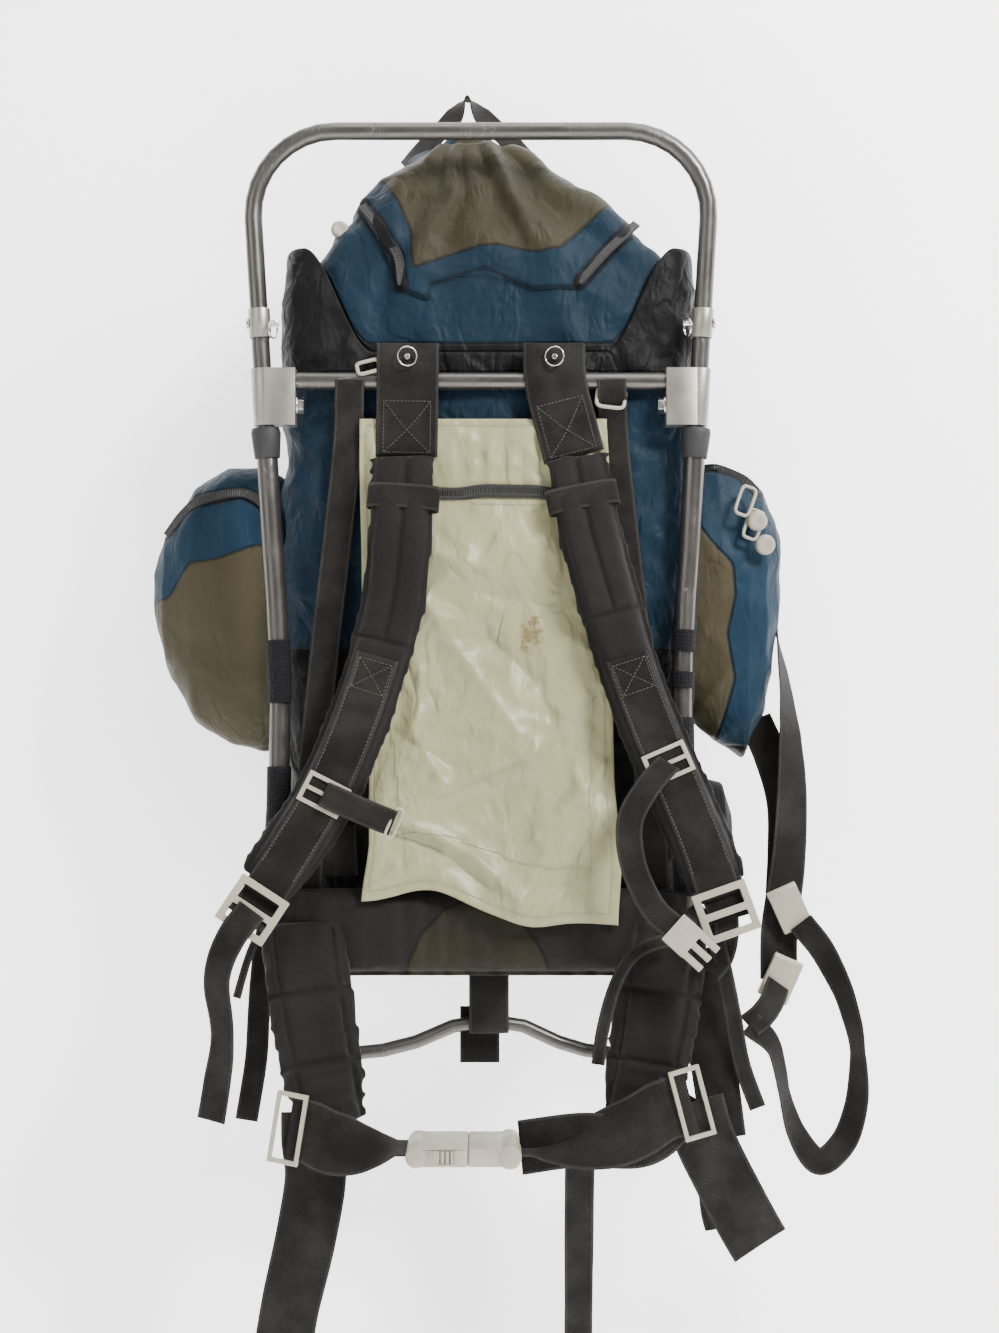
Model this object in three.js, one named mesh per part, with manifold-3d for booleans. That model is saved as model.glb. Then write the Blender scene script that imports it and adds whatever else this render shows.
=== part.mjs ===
// External frame backpack, hanging by its haul loop with the harness side towards -Y.
// Millimetres, +Z up. The origin is the underside of the haul loop, where the pack hangs.
import * as THREE from 'three';
import { mergeVertices } from 'three/addons/utils/BufferGeometryUtils.js';
import Module from 'manifold-3d';

const wasm = await Module();
wasm.setup();

// Clearances and cloth
const GAP = 0.3; // air between two pieces that touch
const SLEEVE_GAP = 0.4; // air between a tube and what slides over it
const CLOTH = 2; // wall of the bag, the lid and the pockets
const WEB = 1.6; // thickness of webbing
const PANEL_CLOTH = 1.2;

// Frame
const LOOP_OFFSET = 12.5; // the haul loop sits this far left of the frame's middle
const FRAME_FORE = 60; // the frame's plane lies this far in front of the hanging point
const HALF_WIDTH = 195.7; // middle to leg centreline, at the hoop's corners
const HOOP_DROP = 44;
const HOOP_RADIUS = 71;
const HOOP_TUBE = 15.5;
const LEG_LEAN = 0.0575; // inward for each millimetre down
const LEG_END = 365;
const RAIL_START = 304;
const RAIL_STRAIGHT = 96; // the rail follows the leg's line this far
const RAIL_LENGTH = 441;
const RAIL_TUBE = 18;
const RAIL_WALL = 0.8;
const RAIL_BOW = 8; // how far the rail curves forward behind the lumbar pad
const CROSSBAR_DROP = 259;
const CROSSBAR_TUBE = 15;
const CROSSBAR_SEAT = 10; // length of its end inside the clamp
const LOWER_TUBE = 12;
const LOWER_DEPTH = 90; // from the rail's end down to the loop's lowest stretch
const LOWER_HUMP = 26;
const LOWER_RADIUS = 40;
const LOWER_PLUG = 15; // swelled end inside the rail

// Clamps, collars and bushings on the legs
const CLAMP_SLEEVE = 20;
const CLAMP_HEIGHT = 49;
const CLAMP_ABOVE = 10.5; // clamp top above the crossbar's centreline
const CLAMP_BLOCK = 28.5; // block's inner face from the leg's centreline
const CLAMP_DEPTH = 20;
const BOLT_DROP = 21; // bolt below the crossbar
const BOLT_SHANK = 6;
const BOLT_HEAD = 15;
const BOLT_HEAD_HEIGHT = 5;
const WASHER = 18;
const WASHER_THICK = 1.5;
const COLLAR_DROP = 197;
const COLLAR_HEIGHT = 25;
const COLLAR_TUBE = 19;
const COLLAR_PIN_DROP = 12.5; // pin below the collar's top
const PIN = 5;
const PIN_HEAD = 9;
const PIN_HEAD_THICK = 1.4;
const PIN_TAIL = 7; // part of the pin that stands out for its ring
const PIN_HOLE = 2.2;
const BUSHING_TOP = 26;
const BUSHING_BOTTOM = 22;
const BUSHING_HEIGHT = 26;
const BUSHING_LIP = 4.5; // rubber over the rail's end

// Webbing widths
const WIDE_WEB = 50;
const YOKE_WEB = 53;
const NARROW_WEB = 25;
const ADJUSTER_WEB = 36;
const STERNUM_WEB = 22;
const BOTTOM_WEB = 34;

// Shoulder harness
const YOKE_LEFT = -62.7; // middle of the webbing on the crossbar
const YOKE_RIGHT = 63;
const YOKE_LEAN_LEFT = -1;
const YOKE_LEAN_RIGHT = 17;
const YOKE_RISE = 32; // top of the webbing above the crossbar's centreline
const YOKE_FOOT = 66; // end of the webbing below it
const YOKE_PIN_RISE = 19;
const PAD_WIDTH = 60;
const PAD_THICK = 15;
const PAD_DROP = 362;
const PAD_FORE = 53;
const PAD_SPREAD_LEFT = 113;
const PAD_SPREAD_RIGHT = 116;
const PAD_ROOT_SEAM = 1.5; // pad's top end below the yoke webbing's
const PAD_ROOT_FORE = 10; // pad's top end in front of the frame's plane
const ADJUSTER_START = 0.5; // share of the pad's length
const SLIDER_WIDTH = 38;
const SLIDER_HEIGHT = 27;
const SLIDER_THICK = 3.4;
const SLIDER_RIDE = 0.4; // room for the pad's curve under the slider
const LOCK_WIDTH = 46;
const LOCK_HEIGHT = 42;
const LOCK_THICK = 5;
const LOCK_BAR = 6;
const LOCK_REACH = 21; // lock's middle beyond the pad's end
const LOWER_STRAP_LEFT = 175;
const LOWER_STRAP_RIGHT = 62;
const STERNUM_LEFT = 58;
const STERNUM_RIGHT = 140;
const STERNUM_LIFT_LEFT = 1.2; // room for the strap's turn on its slider
const STERNUM_LIFT_RIGHT = 1.3;
const STERNUM_BUCKLE = 40;
const STERNUM_BUCKLE_WIDTH = 27;
const STERNUM_BUCKLE_THICK = 7;

// Back panel and its webs
const PANEL_DROP = 292;
const PANEL_LENGTH = 420;
const PANEL_LEFT = 104;
const PANEL_RIGHT = 108;
const PANEL_FOLD = 4.5;
const BACK_WEB_SIDE = 112;
const BACK_WEB_SPREAD = 36;
const BACK_WEB_BEHIND = 8; // behind the panel, so that its folds stay clear

// Hip belt
const LUMBAR_DROP = 729; // middle of the pad
const LUMBAR_HEIGHT = 80;
const LUMBAR_THICK = 18;
const LUMBAR_HALF = 178;
const WING_WIDTH = 62;
const WING_THICK = 16;
const WING_LENGTH = 165;
const WING_ROOT_LEFT = 150;
const WING_ROOT_RIGHT = 157;
const WING_SEAT_LEFT = 5.5; // the wing's root sits on the lumbar pad's thinner end
const WING_SEAT_RIGHT = 6.2;
const WING_ROOT_RISE = 12; // wing root above the lumbar pad's middle
const BUCKLE_DROP = 892;
const BUCKLE_FORE = 112;
const BUCKLE_SIDE = -9;
const BUCKLE_WIDTH = 60;
const BUCKLE_HEIGHT = 15;
const SOCKET_LENGTH = 46;
const PLUG_LENGTH = 40;
const PRONG_LENGTH = 26;
const BUCKLE_WALL = 2.4;
const BUCKLE_MOUTH = 8; // depth of the slot that takes the webbing
const BUCKLE_ENTRY = 12; // level stretch of webbing before the slot
const GLIDE_RIDE_LEFT = 1.6; // room under the glide for the webbing's turn
const GLIDE_RIDE_RIGHT = 0.4;
const BELT_OUT_LEFT = 36; // webbing's end outside the wing's tip
const BELT_OUT_RIGHT = 46;
const BELT_UP_LEFT = 4;
const BELT_UP_RIGHT = 24;
const BELT_AHEAD = 15; // webbing in front of the wing's middle
const GLIDE_WIDTH = 26;
const GLIDE_HEIGHT = 58;
const GLIDE_THICK = 3.4;
const TAIL_LEFT = 255;
const TAIL_INSET = 18; // tail's top beside the belt webbing's end
const TAIL_RISE = 12;
const TAIL_RIGHT = 140;
const TAIL_MIDDLE = 225;
const TAIL_MIDDLE_WEB = 24;
const TAIL_MIDDLE_LIFT = 7.9; // room for the turn of the webbing that carries it
const TAIL_MIDDLE_PLACE = 0.48; // share of the right belt web's length
const BOTTOM_TAIL = 36;
const BOTTOM_STRAP_RISE = 40; // sewn end above the bag's floor
const BOTTOM_STRAP_SIDE = 0.04; // share of the lower loop's half width
const BOTTOM_STRAP_SLACK = 0.8;

// Bag, lid and pockets
const BAG_MIDDLE = 7; // the bag's middle is this far right of the frame's
const BAG_HALF = 182;
const BAG_DEPTH = 180;
const BAG_RIM = 232; // front rim below the hanging point
const BAG_BOTTOM = 742;
const BAG_FOLD = 5; // gathers across the back
const BAG_FOLD_WAVES = 7;
const EAR_RISE = 92; // front corners above the front rim
const SIDE_RISE = 76;
const LID_TOP = 34;
const LID_HALF = 160;
const LID_SEAM = 0.8; // lid's edge above the bag's rim
const LID_FOLD = 3.5;
const LID_FOLDS = 8;
const SEAM = 0.6; // pocket rim to bag wall
const POCKET_LEFT_OUT = 119;
const POCKET_RIGHT_OUT = 80;
const POCKET_HEIGHT = 252;
const POCKET_LEFT_DROP = 327;
const POCKET_RIGHT_DROP = 319;
const POCKET_HALF_DEPTH = 46;
const MESH_LEFT_OUT = 18;
const MESH_RIGHT_OUT = 34;
const MESH_HEIGHT = 118;
const MESH_DROP = 604;
const HAUL_WEB = 25;
const HAUL_LID_ROW = 1; // the lid's section that the loop is sewn to
const SIDE_WEB = 32;
const SIDE_STRAP = 305;
const SIDE_STRAP_DROP = 470;
const SIDE_STRAP_SEAT = 2.1; // the pocket curves inward at the strap
const LOOP_STRAP_WIDTH = 62;
const LOOP_STRAP_DROP = 200;
const UPPER_BUCKLE_PLACE = 0.68; // share of the side strap's length
const LOWER_BUCKLE_SEAT = 1; // the strap's end turns towards its buckle
const SIDE_BUCKLE_LENGTH = 34;
const SIDE_BUCKLE_WIDTH = 26;
const SIDE_BUCKLE_THICK = 9;

// Sizes that follow
const FRAME_Y = -FRAME_FORE;
const BORE = HOOP_TUBE / 2 + SLEEVE_GAP;
const RAIL_END = RAIL_START + RAIL_LENGTH;
const LUMBAR_BACK = FRAME_Y - RAIL_BOW - RAIL_TUBE / 2 - GAP;
const LUMBAR_Y = LUMBAR_BACK - LUMBAR_THICK / 2;
const LUMBAR_FRONT = LUMBAR_BACK - LUMBAR_THICK;
const YOKE_RADIUS = CROSSBAR_TUBE / 2 + GAP + WEB / 2;
const BAG_FRONT = FRAME_Y + YOKE_RADIUS + WEB / 2 + GAP;
const BAG_Y = BAG_FRONT + BAG_DEPTH / 2;
const FRONT = new THREE.Vector3(0, -1, 0);
const ACROSS = new THREE.Vector3(1, 0, 0);

const pack = new THREE.Group();
pack.position.x = LOOP_OFFSET;

// Colours and finishes

function finish(color, roughness, metalness = 0) {
  return new THREE.MeshStandardMaterial({ color, roughness, metalness });
}

const finishes = {
  tube: () => finish('#55585c', 0.35, 0.9),
  clamp: () => finish('#a8a59c', 0.4, 0.9),
  steel: () => finish('#c9c8c4', 0.25, 1),
  rubber: () => finish('#1d1d1e', 0.7),
  webbing: () => finish('#322e2a', 0.85),
  pad: () => finish('#383331', 0.8),
  panel: () => finish('#b9b797', 0.45),
  blue: () => finish('#28475a', 0.7),
  olive: () => finish('#5d5849', 0.8),
  mesh: () => finish('#1b1c1e', 0.9),
  plastic: () => finish('#bfb9ab', 0.45),
};

function add(name, geometry, look) {
  const mesh = new THREE.Mesh(geometry, finishes[look]());
  mesh.name = name;
  pack.add(mesh);
  return mesh;
}

// Booleans

function toSolid(geometry) {
  const bare = geometry.clone();
  bare.deleteAttribute('normal');
  bare.deleteAttribute('uv');
  const merged = mergeVertices(bare, 1e-4);
  return new wasm.Manifold(new wasm.Mesh({
    numProp: 3,
    vertProperties: Float32Array.from(merged.attributes.position.array),
    triVerts: Uint32Array.from(merged.index.array),
  }));
}

function toGeometry(solid) {
  const mesh = solid.getMesh();
  const geometry = new THREE.BufferGeometry();
  geometry.setAttribute('position', new THREE.BufferAttribute(mesh.vertProperties, 3));
  geometry.setIndex(new THREE.BufferAttribute(mesh.triVerts, 1));
  geometry.computeVertexNormals();
  return geometry;
}

function join(parts) {
  return parts.map(toSolid).reduce((whole, part) => whole.add(part));
}

function cut(geometry, tools) {
  const body = geometry.isBufferGeometry ? toSolid(geometry) : geometry;
  return toGeometry(tools.map(toSolid).reduce((rest, tool) => rest.subtract(tool), body));
}

// A rod of any sides between two points

function rod(from, to, radius, sides = 16) {
  const line = to.clone().sub(from);
  const geometry = new THREE.CylinderGeometry(radius, radius, line.length(), sides);
  const turn = new THREE.Quaternion().setFromUnitVectors(new THREE.Vector3(0, 1, 0), line.clone().normalize());
  geometry.applyQuaternion(turn);
  const middle = from.clone().add(to).multiplyScalar(0.5);
  return geometry.translate(middle.x, middle.y, middle.z);
}

function block(width, depth, height, at) {
  return new THREE.BoxGeometry(width, depth, height).translate(at.x, at.y, at.z);
}

// Closed bodies from rings of points

// Two walls that lie close together take mirrored diagonals, so that a twist can't push one through the other
function loft(rings, mirrored = () => false, capped = true) {
  const count = rings[0].length;
  const points = rings.flat().map((p) => p.clone());
  const faces = [];
  const last = capped ? rings.length - 1 : rings.length;
  for (let r = 0; r < last; r += 1) {
    const a = r * count;
    const b = ((r + 1) % rings.length) * count;
    for (let i = 0; i < count; i += 1) {
      const j = (i + 1) % count;
      if (mirrored(r, i)) faces.push(a + i, b + i, b + j, a + i, b + j, a + j);
      else faces.push(a + i, b + i, a + j, a + j, b + i, b + j);
    }
  }
  if (capped) {
    cap(points, faces, 0, count, true);
    cap(points, faces, (rings.length - 1) * count, count, false);
  }
  return closed(points, faces);
}

function wall(outer, inner) {
  return loft([...outer, ...inner], (ring) => ring >= outer.length);
}

function cap(points, faces, start, count, flip) {
  const few = 8;
  if (count <= few) {
    for (let i = 1; i < count - 1; i += 1) {
      faces.push(start, start + (flip ? i : i + 1), start + (flip ? i + 1 : i));
    }
    return;
  }
  const middle = new THREE.Vector3();
  for (let i = 0; i < count; i += 1) middle.add(points[start + i]);
  points.push(middle.multiplyScalar(1 / count));
  const hub = points.length - 1;
  for (let i = 0; i < count; i += 1) {
    const j = (i + 1) % count;
    faces.push(hub, start + (flip ? i : j), start + (flip ? j : i));
  }
}

function closed(points, faces) {
  let volume = 0;
  for (let i = 0; i < faces.length; i += 3) {
    const [a, b, c] = [points[faces[i]], points[faces[i + 1]], points[faces[i + 2]]];
    volume += a.dot(new THREE.Vector3().crossVectors(b, c));
  }
  if (volume < 0) {
    for (let i = 0; i < faces.length; i += 3) {
      [faces[i + 1], faces[i + 2]] = [faces[i + 2], faces[i + 1]];
    }
  }
  const geometry = new THREE.BufferGeometry().setFromPoints(points);
  geometry.setIndex(faces);
  geometry.computeVertexNormals();
  return geometry;
}

// Straps and pads swept along a route

const FLAT = [[-0.5, -0.5], [0.5, -0.5], [0.5, 0.5], [-0.5, 0.5]];

// Padded section with a sewn channel down its front, as shares of width and thickness
const PADDED = [
  [-0.5, 0], [-0.42, 0.34], [-0.24, 0.5], [0, 0.38], [0.24, 0.5], [0.42, 0.34],
  [0.5, 0], [0.4, -0.36], [0, -0.5], [-0.4, -0.36],
];

function lerp(a, b, share) {
  return a + (b - a) * share;
}

function rowValue(rows, key, share, fallback) {
  const place = share * (rows.length - 1);
  const low = Math.min(Math.floor(place), rows.length - 2);
  return lerp(rows[low][key] ?? fallback, rows[low + 1][key] ?? fallback, place - low);
}

// Stations hold a place, the across and outward directions and the local size
function stations({ points, rows, steps, width, thick, facing = FRONT, across = null }) {
  const curve = new THREE.CatmullRomCurve3(points, false, 'centripetal');
  const count = (points.length - 1) * steps;
  const found = [];
  for (let i = 0; i <= count; i += 1) {
    const share = i / count;
    const along = curve.getTangent(share);
    const side = new THREE.Vector3();
    if (across) side.copy(across).addScaledVector(along, -across.dot(along)).normalize();
    else side.crossVectors(along, facing).normalize();
    side.applyAxisAngle(along, THREE.MathUtils.degToRad(rowValue(rows, 'turn', share, 0)));
    found.push({
      at: curve.getPoint(share),
      side,
      out: new THREE.Vector3().crossVectors(side, along).normalize(),
      width: width * rowValue(rows, 'wide', share, 1),
      thick: thick * rowValue(rows, 'full', share, 1),
    });
  }
  return found;
}

function sweep(found, section) {
  return loft(found.map((s) => section.map(([u, v]) => s.at.clone()
    .addScaledVector(s.side, u * s.width)
    .addScaledVector(s.out, v * s.thick))), (ring, i) => i >= section.length / 2);
}

// A route that hangs from one point: rows are shares of the strap's own drop
function hanging(from, drop, rows) {
  return rows.map((row) => new THREE.Vector3(
    from.x + drop * row.side,
    from.y - drop * row.fore,
    from.z - drop * row.down,
  ));
}

// A route between two points: side steps are shares of the span
function spanning(from, to, rows) {
  const span = from.distanceTo(to);
  return rows.map((row) => from.clone().lerp(to, row.along)
    .add(new THREE.Vector3(0, -span * (row.fore ?? 0), -span * (row.down ?? 0))));
}

function strap(name, options, look = 'webbing') {
  const found = stations({ steps: 3, thick: WEB, ...options });
  add(name, sweep(found, FLAT), look);
  return found;
}

// Frame tubes

// Steps are shared out by stretch, so that they fall where the tube bends
class StretchPath extends THREE.Curve {
  constructor(stretches) {
    super();
    this.stretches = stretches;
    this.steps = stretches.reduce((sum, s) => sum + s.steps, 0);
  }

  getPoint(share, target = new THREE.Vector3()) {
    let place = share * this.steps;
    let index = 0;
    while (index < this.stretches.length - 1 && place > this.stretches[index].steps) {
      place -= this.stretches[index].steps;
      index += 1;
    }
    const { curve, steps } = this.stretches[index];
    return target.copy(curve.getPoint(Math.min(1, place / steps)));
  }

  getUtoTmapping(share) {
    return share;
  }
}

class Bend extends THREE.Curve {
  constructor(middle, radius, from, to) {
    super();
    Object.assign(this, { middle, radius, from, to });
  }

  getPoint(share, target = new THREE.Vector3()) {
    const angle = lerp(this.from, this.to, share);
    return target.set(
      this.middle.x + this.radius * Math.cos(angle),
      this.middle.y,
      this.middle.z + this.radius * Math.sin(angle),
    );
  }
}

function ringShape(radius, bore) {
  const shape = new THREE.Shape().absarc(0, 0, radius, 0, Math.PI * 2);
  if (bore) shape.holes.push(new THREE.Path().absarc(0, 0, bore, 0, Math.PI * 2));
  return shape;
}

function tube(stretches, radius, bore, halfSides) {
  const path = new StretchPath(stretches);
  return new THREE.ExtrudeGeometry(ringShape(radius, bore), {
    steps: path.steps,
    curveSegments: halfSides,
    bevelEnabled: false,
    extrudePath: path,
  });
}

function framePoint(x, down, fore = 0) {
  return new THREE.Vector3(x, FRAME_Y - fore, -down);
}

function legX(down) {
  return HALF_WIDTH - LEG_LEAN * (down - HOOP_DROP - HOOP_RADIUS);
}

function legPoint(side, down) {
  return framePoint(side * legX(down), down);
}

function collarPinPoint(side) {
  return legPoint(side, COLLAR_DROP + COLLAR_PIN_DROP);
}

function makeHoop() {
  const lean = Math.atan(LEG_LEAN);
  const bendX = HALF_WIDTH - HOOP_RADIUS * Math.cos(lean);
  const bendDown = HOOP_DROP + HOOP_RADIUS;
  const left = new Bend(framePoint(-bendX, bendDown), HOOP_RADIUS, Math.PI + lean, Math.PI / 2);
  const right = new Bend(framePoint(bendX, bendDown), HOOP_RADIUS, Math.PI / 2, -lean);
  const top = new THREE.LineCurve3(left.getPoint(1), right.getPoint(0));
  const legLeft = new THREE.LineCurve3(legPoint(-1, LEG_END), left.getPoint(0));
  const legRight = new THREE.LineCurve3(right.getPoint(1), legPoint(1, LEG_END));
  const whole = tube([
    { curve: legLeft, steps: 1 },
    { curve: left, steps: 8 },
    { curve: top, steps: 1 },
    { curve: right, steps: 8 },
    { curve: legRight, steps: 1 },
  ], HOOP_TUBE / 2, 0, 6);
  const holes = [-1, 1].map((side) => {
    const at = collarPinPoint(side);
    const reach = new THREE.Vector3(COLLAR_TUBE, 0, 0);
    return rod(at.clone().sub(reach), at.clone().add(reach), PIN / 2 + GAP, 8);
  });
  add('top_hoop', cut(whole, holes), 'tube');
}

// Rail rows: down as shares of the bent length, out of HALF_WIDTH, bow of RAIL_BOW
const RAIL_ROWS = [
  { down: 0, out: 0.915, bow: 0 },
  { down: 0.18, out: 0.894, bow: 0.1 },
  { down: 0.37, out: 0.881, bow: 0.45 },
  { down: 0.6, out: 0.884, bow: 0.8 },
  { down: 0.84, out: 0.894, bow: 1 },
  { down: 1, out: 0.899, bow: 0.96 },
];

function railPoints(side) {
  const bent = RAIL_LENGTH - RAIL_STRAIGHT;
  const start = RAIL_START + RAIL_STRAIGHT;
  return RAIL_ROWS.map((row, index) => {
    const down = start + bent * row.down;
    const out = index === 0 ? legX(start) : HALF_WIDTH * row.out;
    return framePoint(side * out, down, RAIL_BOW * row.bow);
  });
}

function makeRails() {
  for (const [word, side] of [['left', -1], ['right', 1]]) {
    const points = railPoints(side);
    const straight = new THREE.LineCurve3(legPoint(side, RAIL_START), points[0]);
    const lead = legPoint(side, RAIL_START + RAIL_STRAIGHT / 2);
    const bent = new THREE.CatmullRomCurve3([lead, ...points], false, 'centripetal');
    const rest = new THREE.Curve();
    rest.getPoint = (share) => bent.getPoint(lerp(1 / points.length, 1, share));
    add(`rail_${word}`, tube([
      { curve: straight, steps: 1 },
      { curve: rest, steps: 7 },
    ], RAIL_TUBE / 2, RAIL_TUBE / 2 - RAIL_WALL, 6), 'tube');
  }
}

// Lower loop rows: side as shares of the half width at the rail's end, rise of the hump
const LOWER_ROWS = [
  { side: -0.76, rise: 0.12 },
  { side: -0.56, rise: 0 },
  { side: -0.34, rise: 0.3 },
  { side: -0.08, rise: 0.98 },
  { side: 0.16, rise: 0.98 },
  { side: 0.4, rise: 0.3 },
  { side: 0.58, rise: 0 },
  { side: 0.76, rise: 0.12 },
];

function lowerBarDown(rise) {
  return RAIL_END + LOWER_DEPTH - LOWER_HUMP * rise;
}

function makeLowerLoop() {
  const ends = [-1, 1].map((side) => railPoints(side).at(-1));
  const half = ends[1].x;
  const y = ends[0].y;
  const inside = (side) => new THREE.Vector3(side * half, y, -RAIL_END + LOWER_PLUG);
  const corner = (side) => new THREE.Vector3(side * (half - LOWER_RADIUS), y, LOWER_RADIUS - lowerBarDown(0));
  const left = new Bend(corner(-1), LOWER_RADIUS, Math.PI, Math.PI * 1.5);
  const right = new Bend(corner(1), LOWER_RADIUS, -Math.PI / 2, 0);
  const bar = new THREE.CatmullRomCurve3([
    left.getPoint(1),
    ...LOWER_ROWS.slice(1, -1).map((row) => new THREE.Vector3(half * row.side, y, -lowerBarDown(row.rise))),
    right.getPoint(0),
  ], false, 'centripetal');
  const whole = tube([
    { curve: new THREE.LineCurve3(inside(-1), left.getPoint(0)), steps: 1 },
    { curve: left, steps: 5 },
    { curve: bar, steps: 10 },
    { curve: right, steps: 5 },
    { curve: new THREE.LineCurve3(right.getPoint(1), inside(1)), steps: 1 },
  ], LOWER_TUBE / 2, 0, 5);
  const plug = RAIL_TUBE / 2 - RAIL_WALL - SLEEVE_GAP - GAP;
  const swells = [-1, 1].map((side) => rod(
    inside(side),
    new THREE.Vector3(side * half, y, -RAIL_END + 1),
    plug,
    12,
  ));
  add('lower_loop', toGeometry(join([whole, ...swells])), 'tube');
}

// Clamps and crossbar

function clampFace(side) {
  return side * (legX(CROSSBAR_DROP) - CLAMP_BLOCK);
}

function makeCrossbar() {
  const ends = [-1, 1].map((side) => framePoint(clampFace(side) + side * (CROSSBAR_SEAT - GAP), CROSSBAR_DROP));
  add('crossbar', rod(ends[0], ends[1], CROSSBAR_TUBE / 2, 16), 'tube');
}

function makeClamp(word, side) {
  const top = CROSSBAR_DROP - CLAMP_ABOVE;
  const foot = top + CLAMP_HEIGHT;
  const face = clampFace(side);
  const outer = side * legX(foot);
  const body = join([
    rod(legPoint(side, top), legPoint(side, foot), CLAMP_SLEEVE / 2, 16),
    block(Math.abs(outer - face), CLAMP_DEPTH, CLAMP_HEIGHT, framePoint((outer + face) / 2, (top + foot) / 2)),
  ]);
  const past = 5;
  const boltDown = CROSSBAR_DROP + BOLT_DROP;
  const shank = CLAMP_BLOCK - BORE - 3;
  add(`clamp_${word}`, cut(body, [
    rod(legPoint(side, top - past), legPoint(side, foot + past), BORE, 12),
    rod(framePoint(face - side * past, CROSSBAR_DROP), framePoint(face + side * CROSSBAR_SEAT, CROSSBAR_DROP),
      CROSSBAR_TUBE / 2 + GAP, 16),
    rod(framePoint(face - side * past, boltDown), framePoint(face + side * shank, boltDown), BOLT_SHANK / 2 + GAP, 8),
  ]), 'clamp');
  const inward = (x) => framePoint(face - side * x, boltDown);
  add(`clamp_bolt_${word}`, toGeometry(join([
    rod(inward(GAP), inward(GAP - shank + 1), BOLT_SHANK / 2, 8),
    rod(inward(GAP), inward(GAP + WASHER_THICK), WASHER / 2, 16),
    rod(inward(GAP + 1), inward(GAP + WASHER_THICK + BOLT_HEAD_HEIGHT), BOLT_HEAD / 2, 6),
  ])), 'steel');
}

// Sleeves turned round the leaning leg
function legSleeve(side, top, profile, sides) {
  const geometry = new THREE.LatheGeometry(profile.map(([r, h]) => new THREE.Vector2(r, h)), sides);
  const line = legPoint(side, top).sub(legPoint(side, top + 1)).normalize();
  geometry.applyQuaternion(new THREE.Quaternion().setFromUnitVectors(new THREE.Vector3(0, 1, 0), line));
  const at = legPoint(side, top);
  return geometry.translate(at.x, at.y, at.z);
}

function makeCollar(word, side) {
  const outer = COLLAR_TUBE / 2;
  const sleeve = legSleeve(side, COLLAR_DROP, [
    [BORE, 0], [BORE, -COLLAR_HEIGHT], [outer, -COLLAR_HEIGHT], [outer, 0], [BORE, 0],
  ], 14);
  const at = collarPinPoint(side);
  const shift = (x) => at.clone().add(new THREE.Vector3(side * x, 0, 0));
  const head = outer + GAP;
  const tail = -outer - PIN_TAIL;
  add(`collar_${word}`, cut(sleeve, [rod(shift(COLLAR_TUBE), shift(-COLLAR_TUBE), PIN / 2 + GAP, 8)]), 'clamp');
  const pin = join([
    rod(shift(head), shift(tail), PIN / 2, 8),
    rod(shift(head), shift(head + PIN_HEAD_THICK), PIN_HEAD / 2, 12),
  ]);
  const hole = shift(tail + PIN_TAIL / 3);
  const reach = new THREE.Vector3(0, 0, PIN);
  add(`collar_pin_${word}`, cut(pin, [
    rod(hole.clone().add(reach), hole.clone().sub(reach), PIN_HOLE / 2, 6),
  ]), 'steel');
}

function makeBushing(word, side) {
  const bottomBore = RAIL_TUBE / 2 + SLEEVE_GAP;
  const seat = -BUSHING_LIP;
  add(`bushing_${word}`, legSleeve(side, RAIL_START - BUSHING_LIP, [
    [BORE, 0], [BORE, seat + GAP], [bottomBore, seat + GAP], [bottomBore, -BUSHING_HEIGHT],
    [BUSHING_BOTTOM / 2, -BUSHING_HEIGHT], [BUSHING_TOP / 2, -BUSHING_LIP], [BUSHING_TOP / 2 - 1, 0], [BORE, 0],
  ], 14), 'rubber');
}

// Yoke webbing: rise as shares of YOKE_RISE above the bar and of YOKE_FOOT below it, fore of YOKE_RADIUS
const YOKE_ROWS = [
  { rise: -1, fore: 1 },
  { rise: -0.62, fore: 1 },
  { rise: -0.13, fore: 1 },
  { rise: 0.3, fore: 0.99 },
  { rise: 0.72, fore: 0.78 },
  { rise: 1, fore: 0.1 },
  { rise: 0.72, fore: -0.54 },
  { rise: 0.3, fore: -0.94 },
  { rise: -0.13, fore: -0.98 },
  { rise: -0.22, fore: -0.42 },
  { rise: -0.355, fore: 0.5 },
  { rise: -0.52, fore: 0.76 },
  { rise: -0.98, fore: 0.765 },
];

function yokePoint(side, lean, rise, fore) {
  const up = rise > 0 ? rise * YOKE_RISE : rise * YOKE_FOOT;
  const slide = lean * Math.max(0, -rise);
  return framePoint(side + slide, CROSSBAR_DROP - up, fore * YOKE_RADIUS);
}

function makeYoke(word, side, lean) {
  const points = YOKE_ROWS.map((row) => yokePoint(side, lean, row.rise, row.fore));
  const found = stations({ points, rows: YOKE_ROWS, steps: 2, width: YOKE_WEB, thick: WEB, across: ACROSS });
  const at = framePoint(side, CROSSBAR_DROP - YOKE_PIN_RISE);
  const back = -YOKE_RADIUS - WEB / 2 + 0.1;
  const tail = YOKE_RADIUS + PIN_TAIL;
  const fore = (y) => at.clone().add(new THREE.Vector3(0, -y, 0));
  add(`yoke_web_${word}`, cut(sweep(found, FLAT), [
    rod(fore(back - PIN), fore(tail + PIN), PIN / 2 + GAP, 8),
  ]), 'webbing');
  const pin = join([
    rod(fore(back), fore(tail), PIN / 2, 8),
    rod(fore(back), fore(back + PIN_HEAD_THICK - GAP), PIN_HEAD / 2, 12),
  ]);
  const hole = fore(tail - PIN_TAIL / 3);
  const reach = new THREE.Vector3(PIN, 0, 0);
  add(`yoke_pin_${word}`, cut(pin, [rod(hole.clone().add(reach), hole.clone().sub(reach), PIN_HOLE / 2, 6)]), 'steel');
}

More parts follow.
